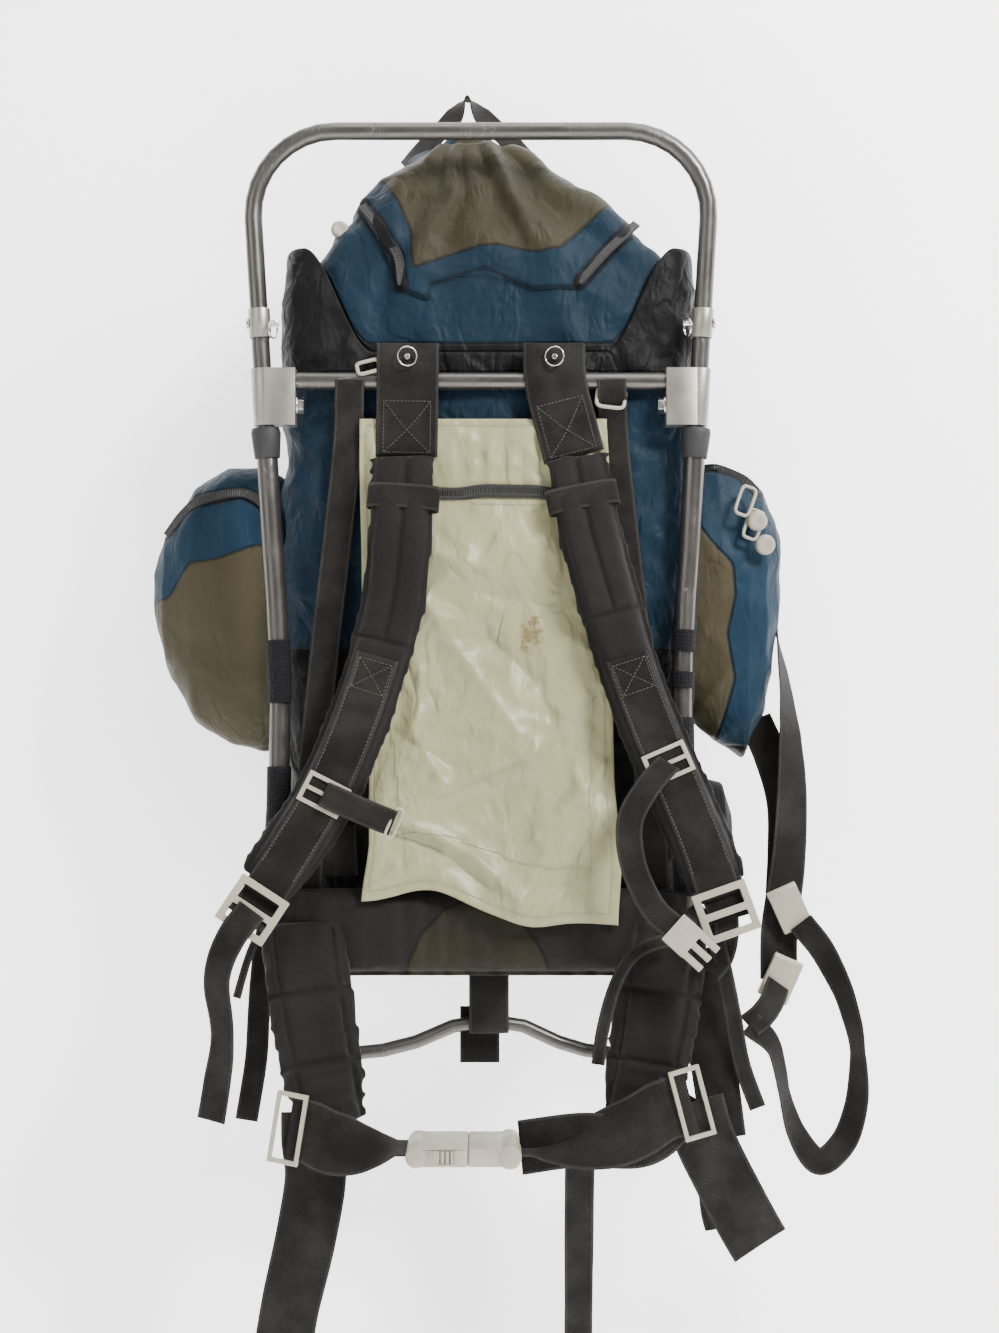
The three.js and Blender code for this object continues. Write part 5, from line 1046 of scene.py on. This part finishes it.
# Name, width and rows, from the frame's middle
SMALL_STRAPS = [
    ("belt_fold_right", 44, [(32.5, -172, -891, 0), (81, -165, -886.5, 0), (130, -160, -888, 0), (148, -156, -878, 0),
        (166, -150, -850, 0)]),
    ("dark_strap_right", 38, [(176, -98, -745, 0), (184, -100, -772, 4), (190, -104, -810, 6), (197, -108, -852, 4),
        (203, -110, -898, 0)]),
    ("thin_strap_upper", 14, [(175, -125, -702.5, 0), (194, -125, -726.5, 20), (200, -125, -747, 30),
        (209, -120, -789, 20), (218, -116, -836, 10), (231, -114, -872, 0)]),
    ("thin_strap_inner", 11, [(160, -125, -729, 0), (132, -128, -738.5, 30), (115, -130, -759, 30),
        (101, -132, -804, 10), (97, -134, -832, 0)]),
    ("thin_strap_low", 9, [(182, -128, -888, 0), (184, -124, -917.5, 20), (187, -120, -958, 35),
        (191, -120, -972, 20)]),
    ("lock_web_left", 35, [(-175.5, -124, -687, 0), (-183.5, -131, -700, 0), (-192.5, -141, -712, 0)]),
    ("lock_web_right", 37, [(198, -124, -682, 0), (202, -130, -695, 0), (207, -135, -712, 0)]),
    ("side_branch", 30, [(246, 22, -552, 0), (258, 12, -582, 8), (268, -4, -623, 12), (267, -20, -666, 8),
        (264, -28, -705, 0)]),
    ("side_loop_end", 22, [(255, -66, -776, -8), (247, -80, -790, 0), (237, -90, -800, 10), (226, -96, -807, 20)]),
    ("strap_end_left", 19, [(-180, -84, -722, 0), (-186, -87, -768, 12), (-188, -86, -800, 4), (-190, -86, -836, -6),
        (-198, -88, -888, 0)]),
    ("tape_left", 7, [(-188, -96, -732, 0), (-196, -98, -752, 20), (-205, -98, -783, 10)]),
    ("flap_left", 42, [(-128, -66, -640, 0), (-127, -68, -665, 0), (-126, -70, -684, 0)]),
]


# Height and width of each crease, and the line it follows
PANEL_FOLDS = [(9, 9, [(-78, -627), (-30, -644), (10, -666), (50, -705)]),
    (-6, 7, [(-70, -640), (-25, -658), (20, -690)]), (7, 13, [(-34, -450), (0, -500), (45, -561)]),
    (6, 8, [(-51, -625), (16, -593), (59, -576)]), (5, 10, [(59, -576), (112, -520)]),
    (-4, 8, [(-60, -560), (-10, -590)]), (6, 9, [(60, -645), (118, -590)]),
    (5, 7, [(48, -700), (75, -640), (100, -620)]), (4, 9, [(-45, -400), (20, -422), (66, -395)]),
    (-4, 7, [(5, -440), (72, -452)]), (4, 7, [(-78, -684), (-36, -668)]),
    (-5, 9, [(20, -480), (62, -520), (80, -570)]), (5, 8, [(-20, -600), (-45, -560), (-38, -510)]),
    (-4, 6, [(84, -690), (96, -650), (118, -640)])]


def panel_folds(x, z):
    """Height of the panel's sharp creases."""
    return sum(rise * 1.5 * exp(-line_gap(line, x, z) / width) for rise, width, line in PANEL_FOLDS)


def panel_at(across, down):
    """Middle of the back panel's cloth at shares across and down it."""
    fore, left, right, fold = [table_value(PANEL_ROWS, key, down) for key in (1, 2, 3, 4)]
    wave = sin((down * 2.4 + across) * pi * 2.2)
    hem = (16 * bell(across - 0.27, 0.17) - 7 * bell(across - 0.66, 0.12)) * ease(0.72, 1, down)
    return Vector((MIDDLE + lerp(-104 * left, 108 * right, across), -60 - fore - 4.5 * fold * wave,
                   -292 - 420 * down * (1 + 0.045 * (across - 0.5)) + hem))


def pocket_point(side, rows, reach, drop, height, angle, share):
    """Place on a side pocket, round its outline and out from the bag."""
    out, top, foot, deep = [row_table(rows, key, share) for key in range(4)]
    top, foot = drop + height * top, drop + height * foot
    y, z = outline(angle, 46 * deep, (foot - top) / 2, 2.6)
    down = (top + foot) / 2 + z
    flat = BAG_X + side * BAG_HALF
    x = lerp(bag_side(side, -down) + side * 0.6, flat, min(1, 2 * out)) + side * reach * out
    return Vector((x, BAG_Y + y, -down))


def row_table(rows, key, share):
    """Softened value at that share along a table's evenly spaced rows."""
    place = share * (len(rows) - 1)
    low = min(int(place), len(rows) - 2)
    return lerp(rows[low][key], rows[low + 1][key], ease(0, 1, place - low) * 0.4 + (place - low) * 0.6)


def keeper(name, s):
    """Band sewn round a pad at one station."""
    width, room = 21, 3.4
    points, uvs = [], []
    around = [(copysign(abs(cos(a)) ** 0.6, cos(a)) / 2, copysign(abs(sin(a)) ** 0.8,
              sin(a)) / 2) for a in (2 * pi * k / 40 for k in range(40))]
    for r in range(5):
        slide = width * (r / 4 - 0.5)
        for k, (u, v) in enumerate(around):
            points.append(s["at"] + s["side"] * (u * (s["width"] + room)) + s["out"] * (v * (s["thick"] + room * 1.6))
                          + s["along"] * slide)
            uvs.append((slide, u * s["width"]))
    piece = shape(name, points, grid_faces(5, 40, True), "webbing", "webbing", uvs,
                  {"edge": [width * (0.5 - abs(r / 4 - 0.5)) for r in range(5) for _ in around]})
    solidify(piece, 1.3, 1.0)
    settle(piece)


def box_stitch(found, first, last, half):
    """Path of a crossed box of stitches on a strap."""
    corners = [(-half, first), (half, first), (half, last), (-half, last), (-half, first), (half, last), (half, first),
               (-half, last)]
    path = []
    for (u0, s0), (u1, s1) in zip(corners, corners[1:]):
        path += [on_band(found, lerp(u0, u1, k / 12), lerp(s0, s1, k / 12), 0.35) for k in range(13)]
    return path


def edge_stitch(found, half, first, last):
    """Paths of stitches along a strap's two edges."""
    return [[on_band(found, side * half, lerp(first, last, k / 90), 0.3) for k in range(91)] for side in (-1, 1)]


def strap(name, **settings):
    """The woven strap along the route of that name."""
    found = route(name)
    band(name + "_woven", found, hides=(name,), **settings)
    return found


# Finish and rounded edge of each rigid piece
HARDWARE = (("tube", 0, "top_hoop rail_left rail_right lower_loop"), ("bar", 0, "crossbar"),
            ("plastic", 1.5, "sternum_buckle belt_socket belt_plug side_buckle_upper side_buckle_lower"))
PAIRED_HARDWARE = (("clamp", "clamp", 0.8), ("collar", "clamp", 0.4), ("bushing", "rubber", 0.5),
                   ("clamp_bolt", "steel", 0.25), ("collar_pin", "steel", 0.25), ("yoke_pin", "steel", 0.25),
                   ("sternum_slider", "plastic", 0.5), ("ladder_lock", "plastic", 1.1), ("belt_glide", "plastic", 0.5))


class PACK_OT_frame(bpy.types.Operator):
    """Finish the tubes, clamps, pins and buckles, and add grips and rolls to the belt buckle"""

    bl_idname = "pack.frame"
    bl_label = "Frame and hardware"

    def execute(self, context):
        for look, bevel, names in HARDWARE:
            for name in names.split():
                dress(name, look, bevel)
        for kind, look, bevel in PAIRED_HARDWARE:
            for side in ("left", "right"):
                dress(f"{kind}_{side}", look, bevel)
        for name, inset, half in (("belt_socket", 5, 8.5), ("belt_plug", -7, 9.5)):
            low, high = [Vector(corner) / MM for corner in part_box(name)]
            level = (low.z + high.z) / 2
            if inset > 0:
                for index in range(4):
                    grip = Vector((lerp(high.x - 24, high.x - 12.4, index / 3), low.y + 2, level))
                    tube(f"buckle_grip_{index}", [grip + Vector((0, 0, rise)) for rise in (-5, -4.6, 0, 4.6, 5)], 1.7,
                         *PLASTIC)
            deep = high.y - low.y + 1.6
            profile = [(0, 0.2), (0, half - 2.5), (0.8, half - 1), (2.4, half), (deep - 2.4, half),
                       (deep - 0.8, half - 1), (deep, half - 2.5), (deep, 0.2)]
            roll = Vector(((low.x if inset > 0 else high.x) + inset, low.y - 0.8, level))
            lathe(name + "_roll", roll, -FRONT, profile, 40)
        return {"FINISHED"}


class PACK_OT_yoke(bpy.types.Operator):
    """Yoke webs on the crossbar, shoulder pads, their keepers and adjuster webs"""

    bl_idname = "pack.yoke"
    bl_label = "Yoke and shoulder pads"

    def execute(self, context):
        for side, fold in (("left", 0.42), ("right", 0.37)):
            rows = [(left, y, z, turn, *rest) if side == "left" else (right, y, z, -turn, *rest)
                    for left, right, y, z, turn, *rest in PAD_ROWS]
            found = strap("yoke_web_" + side, wave=0.6)
            stitching("yoke_stitches_" + side, [box_stitch(found, 0.012, 0.14, 20)])
            found = stations(rows, 60, 15, count=120)
            found.insert(0, {**found[0], "at": found[0]["at"] - found[0]["along"] * 4})
            pad("shoulder_pad_stuffed_" + side, found, "pad", ("shoulder_pad_" + side,),
                seams=((0, 0, fold), (-23, 0, 1), (23, 0, 1)), cross=(fold,))
            keeper("pad_keeper_" + side, found[20])
            web = lifted(stations(rows, 60, 15, count=70, first=0.5), 3.6, 36, WEB)
            tail = [{**web[-1], "at": web[-1]["at"] + web[-1]["along"] * far} for far in (4, 8)]
            band("adjuster_web_woven_" + side, web + tail, hides=("adjuster_web_" + side,), wave=0.5)
            stitching("adjuster_stitches_" + side,
                      edge_stitch(web, 15.5, 0.02, 0.9) + [box_stitch(web, 0.02, 0.12, 14)])
        return {"FINISHED"}


class PACK_OT_back(bpy.types.Operator):
    """Crumpled nylon back panel, its pocket zip, the back webs and the lumbar pad"""

    bl_idname = "pack.back"
    bl_label = "Back panel and lumbar pad"

    def execute(self, context):
        rows, columns = 150, 84
        fold = sizes().fold / MM
        points, uvs = [], []
        for r in range(rows):
            for c in range(columns):
                across, down = c / (columns - 1), r / (rows - 1)
                at = panel_at(across, down)
                diagonal = at.x * 0.62 - at.z * 0.78 + 14 * ripple(at.x, 0, at.z, 60, 2)
                strong = bell(across - lerp(0.12, 0.7, ease(0.45, 1, down)), 0.16) * ease(0.35, 0.7, down)
                rim = ease(0, 0.05, min(across, 1 - across)) * ease(0, 0.03, min(down, 1 - down))
                sharp = fold_noise(at.x, 0, at.z * 0.7, 62, 1.3)
                calm = 1 - 0.9 * bell(at.z + 357, 10)
                push = calm * rim * (fold * 0.5 * sharp + panel_folds(at.x, at.z) * 0.9
                                     + fold * strong * sin(diagonal / 8) * 0.3
                                     + 1.5 * fold_noise(at.x, 9, at.z, 24, 5) + 0.5 * ripple(at.x, 0, at.z, 9, 3))
                pleat = 1.3 * sin(at.x / 2.7 + 2 * ripple(at.x, 0, 0, 14, 4)) * bell(down - 0.085, 0.05)
                groove = -1.6 * bell(at.z + 357, 2.0) * ease(0.05, 0.09, across) * ease(0.05, 0.09, 1 - across)
                points.append(at + FRONT * (push * 0.8 + pleat + groove))
                uvs.append((across * 212, down * 420))
        piece = shape("back_panel_nylon", points, grid_faces(rows, columns), "panel", "panel_cloth", uvs, None,
                      ("back_panel",))
        solidify(piece, 1.0, 0)
        settle(piece)

        def on_panel(across, down, lift=1.4):
            at = points[int(down * (rows - 1)) * columns + int(across * (columns - 1))]
            return at + FRONT * lift, FRONT

        def panel_path(corners, steps=40):
            path = []
            for (a0, d0), (a1, d1) in zip(corners, corners[1:]):
                path += [on_panel(lerp(a0, a1, k / steps), lerp(d0, d1, k / steps)) for k in range(steps)]
            return path

        border = [(0.09, 0.17), (0.91, 0.18), (0.93, 0.55), (0.88, 0.9), (0.14, 0.87), (0.08, 0.5), (0.09, 0.17)]
        hem = [(0.03, 0.02), (0.97, 0.02), (0.97, 0.98), (0.03, 0.98), (0.03, 0.02)]
        stitching("panel_stitches", [panel_path(border), panel_path(hem, 60)], "pale_thread", "panel_cloth", 0.3)
        place = [on_panel(0.1 + 0.8 * k / 8, 0.155 + 0.004 * sin(k), 3.2)[0] for k in range(9)]
        zip_band("panel_zip", place, FRONT, 11)
        for side in ("left", "right"):
            strap("back_web_" + side, wave=0.5)
        lumbar = [(-165.5, -84.5, -729, 0, .8, .4), (-150, -85.5, -729, 0, .93, .8), (-110, -86.3, -729, 0, 1, 1),
                 (12.5, -86.3, -729), (135, -86.3, -729, 0, 1, 1), (175, -85.5, -729, 0, .93, .8),
                 (190.5, -84.5, -729, 0, .8, .4)]
        found = stations(lumbar, 80, 18, across=Vector((0, 0, -1)), count=110)
        hill = [(-50, -772), (-48, -752), (-38, -730), (-18, -708), (6, -699), (30, -704), (52, -724), (66, -748),
                (74, -772)]
        pad("lumbar_pad_stuffed", found, "lumbar", ("lumbar_pad",), seams=((-34, 0, 1), (34, 0, 1)),
            gathers=1.5, patch=lambda p: inside(hill, p[0], p[2]) if p[1] < -86 else -20)
        return {"FINISHED"}


class PACK_OT_belt(bpy.types.Operator):
    """Padded hip wings, the waist webs and their tails"""

    bl_idname = "pack.belt"
    bl_label = "Hip belt"

    def execute(self, context):
        for side, rows in (("left", WING_LEFT), ("right", WING_RIGHT)):
            found = stations(rows, 69, 16, count=80)
            pad("belt_wing_stuffed_" + side, found, "pad", ("belt_wing_" + side,),
                seams=((-24, 0, 1), (24, 0, 1)), cross=(0.35, 0.7), gathers=0.8)
            strap("belt_web_" + side, columns=13, wave=0.7, curl=0.8)
        for name in ("belt_tail_left", "belt_tail_right", "belt_tail_middle"):
            strap(name, wave=1.2, curl=0.8)
        return {"FINISHED"}


class PACK_OT_bag(bpy.types.Operator):
    """Nylon bag, the lid with its olive centre, borders and zips"""

    bl_idname = "pack.bag"
    bl_label = "Bag and lid"

    def execute(self, context):
        height = sizes().wrinkle / MM

        def bag_crease(at, out, share):
            calm = ease(0, 0.04, share)
            net = ease(-480, -500, at.z)
            level = fold_noise(at.x, at.y, at.z * 1.5, 66, 2) + 0.55 * fold_noise(at.x, at.y, at.z, 25, 7)
            return calm * (height * level * (1 - 0.35 * net) + 0.4 * ripple(*at, 9, 3) - 0.5)

        # Black collar above z -250: the bag's black binding and ears, and painted shade in the strip just under the
        # lid.
        shell("main_bag_nylon", bag_point, 150, 240, "bag", "blue_cloth", ("main_bag",),
              {"collar": lambda p: p.z + 250, "base": lambda p: -490 - p.z}, bag_crease)

        def lid_crease(at, out, share):
            x, z = at.x, at.z
            fan = atan2(x - 2, -z - 12)
            far = hypot(x, z + 20)
            fans = sin(fan * 17 + 3 * ripple(x, 0, z, 45, 6))
            fans *= ease(15, 60, far) * (1 - 0.6 * ease(120, 200, far))
            flap = 4.6 * ease(-1, 1.4, inside(FLAP, x, z)) if at.y < BAG_Y else 0
            big = 3.6 * bell(x - lerp(5, 62, (-z - 30) / 120) - 2, 5) * ease(30, 60, -z) * (1 - ease(130, 150, -z))
            drape = 2.2 * sin(x / 9 + 3 * ripple(x, 0, z, 60, 8))
            drape *= ease(-150, -200, z) * (1 - 0.7 * bell(x - 15, 40))
            return (1 - 0.6 * ease(0.9, 1, share)) * (3.2 * fans + 1.0 * fold_noise(x, at.y, z, 38, 9) + drape
                                                      + 0.4 * ripple(*at, 8, 1)) - 1 + flap + big

        shell("lid_nylon", lid_point, 120, 280, "lid", "olive_cloth", ("lid",),
              {"centre": lambda p: inside(OLIVE_LID, p.x, p.z) if p.y < 90 else FAR,
               "flap": lambda p: inside(FLAP, p.x, p.z) if p.y < BAG_Y else FAR,
               "zip": lambda p: max(near_line(line, 5.5)(p) for line in LID_ZIPS.values()),
               "hem": lambda p: (7.8 - p.z - BAG_RIM
                                 + rim_rise((p.x - BAG_X) / BAG_HALF, (p.y - BAG_Y) / BAG_DEEP))},
              lid_crease, closed=False)
        for name, line in LID_ZIPS.items():
            zip_band("lid_zip_" + name, [facing(lid_point, x, z, 5.5) for x, z in line], (0, -1, 0.25), 8)
        return {"FINISHED"}


class PACK_OT_pockets(bpy.types.Operator):
    """Side pockets with their zips and the mesh pockets below"""

    bl_idname = "pack.pockets"
    bl_label = "Side and mesh pockets"

    def execute(self, context):
        def crease(at, out, share):
            return ease(0, 0.1, share) * (1.8 * fold_noise(*at, 42, 4) + 0.5 * ripple(*at, 10, 2))

        for name, side, rows, reach, drop, field in (("left", -1, POCKET_LEFT, 119, 327, OLIVE_LEFT),
                                                     ("right", 1, POCKET_RIGHT, 80, 319, OLIVE_RIGHT)):
            def place(angle, share, side=side, rows=rows, reach=reach, drop=drop):
                return pocket_point(side, rows, reach, drop, 252, angle * side, share)
            shell("side_pocket_nylon_" + name, place, 60, 140, "pocket", "olive_cloth", ("side_pocket_" + name,),
                  {"centre": lambda p, field=field: inside(field, p.x, p.z), "foot": lambda p: -576 - p.z,
                   "zip": near_line(POCKET_ZIPS[name], 5)}, crease)
            zip_band("pocket_zip_" + name, [facing(place, x, z, 4.5) for x, z in POCKET_ZIPS[name]], (0, -1, 0.2), 8)
        for name, side, reach in (("left", -1, 18), ("right", 1, 34)):
            def place(angle, share, side=side, reach=reach):
                return pocket_point(side, POCKET_MESH, reach, 604, 118, angle * side, share)
            shell("mesh_pocket_net_" + name, place, 24, 120, "net", "mesh_cloth", ("mesh_pocket_" + name,), {},
                  lambda at, out, share: 1.2 * ripple(*at, 30, 5))
        return {"FINISHED"}


class PACK_OT_straps(bpy.types.Operator):
    """Haul loop, load lifters, sternum, side and bottom straps"""

    bl_idname = "pack.straps"
    bl_label = "Loose straps"

    def execute(self, context):
        for name in ("haul_loop", "lower_strap_left", "lower_strap_right", "sternum_strap_left",
                     "sternum_strap_right", "bottom_strap", "bottom_strap_tail", "side_strap", "side_loop_strap"):
            strap(name, wave=0.9, curl=0.5)
        return {"FINISHED"}


class PACK_OT_fittings(bpy.types.Operator):
    """Split rings, rail wraps, small straps, pulls and knobs"""

    bl_idname = "pack.fittings"
    bl_label = "Small fittings"

    def execute(self, context):
        for name, hole, turn, radius in SPLIT_RINGS:
            split_ring("split_ring_" + name, Vector(hole), radius, turn)
        for name, side, runs in RAIL_WRAPS:
            for index, (first, last) in enumerate(runs):
                path = [rail_at(side, lerp(first, last, k / 24)) for k in range(25)]
                tube(f"rail_wrap_{name}_{index}", path, 10.4, "net", "mesh_cloth", 20)
        for name, x, z, wide, tall, turn in (("left", -84, -247.5, 19, 10, 0.25), ("right", 124, -274, 24, 17, -0.12)):
            buckle_ring("lifter_buckle_" + name, Vector((x, -66, z)), wide, tall, turn)
        buckle_ring("sternum_ring_left", Vector((-58.5, -127, -634)), 7, 25, -0.43, 1.3)
        for name, width, rows in SMALL_STRAPS:
            points = [(x + MIDDLE, y, z, turn) for x, y, z, turn in rows]
            band(name, stations(points, width, 1.5, count=steps_along(points)), wave=0.8, columns=7)
        knob("lid_pull", Vector((-112, -20, -120)), Vector((0.2, -1, 0.2)), 8)
        knob("pocket_pull_left", Vector((-158, -14, -405)), Vector((0.3, -1, -0.3)), 8)
        cord_path = [Vector(p) for p in ((-173, -8, -370), (-170, -15, -382), (-166, -15, -394), (-160, -14, -402))]
        tube("pocket_cord_left", [curve_point(cord_path, k / 20) for k in range(21)], 1.3, "cord", "webbing", 8)
        for index, (x, z) in enumerate(((252, -368), (259, -389))):
            buckle_ring(f"pocket_loop_{index}", Vector((x - 6, -13, z + 10)), 13, 26, -0.35, 1.5)
            knob(f"pocket_pull_right_{index}", Vector((x + 4, -16, z - 8)), Vector((0.1, -1, -0.2)), 9)
        return {"FINISHED"}


# Stage, in metres

FLOOR = -1.32
REAR = 0.17
SWEEP = 0.5  # radius of the bend between floor and rear
AIM = Vector((0.02, -0.05, -0.5))
# Name, place, size and power
LIGHTS = (("key", (1.3, -1.45, 1.0), 0.7, 112), ("fill", (-1.6, -1.9, 0.3), 1.8, 20),
          ("top", (0.2, -0.6, 1.5), 1.4, 28))


class PACK_OT_stage(bpy.types.Operator):
    """Pale seamless backdrop and floor, soft light and the camera"""

    bl_idname = "pack.stage"
    bl_label = "Stage, light and camera"

    def execute(self, context):
        bend = [pi / 2 * k / 12 for k in range(13)]
        curve = [(-2.4, FLOOR),
                 *[(REAR - SWEEP + SWEEP * sin(a), FLOOR + SWEEP - SWEEP * cos(a)) for a in bend],
                 (REAR, 1.6)]
        mesh = bpy.data.meshes.new("backdrop")
        points = [(x, y, z) for y, z in curve for x in (-3.2, 3.2)]
        mesh.from_pydata(points, [], grid_faces(len(curve), 2))
        mesh.polygons.foreach_set("use_smooth", [True] * len(mesh.polygons))
        sheet = bpy.data.objects.new("backdrop", mesh)
        context.scene.collection.objects.link(sheet)
        mesh.materials.append(backdrop("pale_backdrop"))
        for name, place, size, power in LIGHTS:
            lamp = bpy.data.lights.new(name, "AREA")
            lamp.shape = "DISK"
            lamp.size = size
            lamp.energy = power
            holder = bpy.data.objects.new(name, lamp)
            holder.location = place
            holder.rotation_euler = (AIM - Vector(place)).to_track_quat("-Z", "Y").to_euler()
            context.scene.collection.objects.link(holder)
        world = context.scene.world or bpy.data.worlds.new("studio")
        context.scene.world = world
        world.use_nodes = True
        ground = world.node_tree.nodes["Background"]
        ground.inputs["Color"].default_value = (0.94, 0.96, 1, 1)
        ground.inputs["Strength"].default_value = 0.4
        camera = bpy.data.cameras.new("view")
        camera.lens = 53.38
        camera.sensor_width = 36
        eye = bpy.data.objects.new("view", camera)
        eye.location = (0.0285, -1.76, -0.5044)
        eye.rotation_euler = (pi / 2, 0, 0)
        context.scene.collection.objects.link(eye)
        context.scene.camera = eye
        return {"FINISHED"}


STEPS = (PACK_OT_frame, PACK_OT_yoke, PACK_OT_back, PACK_OT_belt, PACK_OT_bag, PACK_OT_pockets, PACK_OT_straps,
         PACK_OT_fittings, PACK_OT_stage)


class PACK_PT_panel(bpy.types.Panel):
    """Colours, sizes and the steps of the backpack"""

    bl_label = "Frame backpack"
    bl_idname = "PACK_PT_panel"
    bl_space_type = "VIEW_3D"
    bl_region_type = "UI"
    bl_category = "Backpack"

    def draw(self, context):
        for group in (context.scene.pack_sizes, context.scene.pack_colours):
            box = self.layout.box()
            for key in group.__annotations__:
                box.prop(group, key)
        for step in STEPS:
            self.layout.operator(step.bl_idname)


CLASSES = (PackColours, PackSizes, *STEPS, PACK_PT_panel)


def register():
    for made in CLASSES:
        bpy.utils.register_class(made)
    bpy.types.Scene.pack_colours = bpy.props.PointerProperty(type=PackColours)
    bpy.types.Scene.pack_sizes = bpy.props.PointerProperty(type=PackSizes)


def unregister():
    del bpy.types.Scene.pack_sizes
    del bpy.types.Scene.pack_colours
    for made in reversed(CLASSES):
        bpy.utils.unregister_class(made)


def main():
    register()
    for step in STEPS:
        getattr(bpy.ops.pack, step.bl_idname.split(".")[1])()


if __name__ == "__main__":
    main()
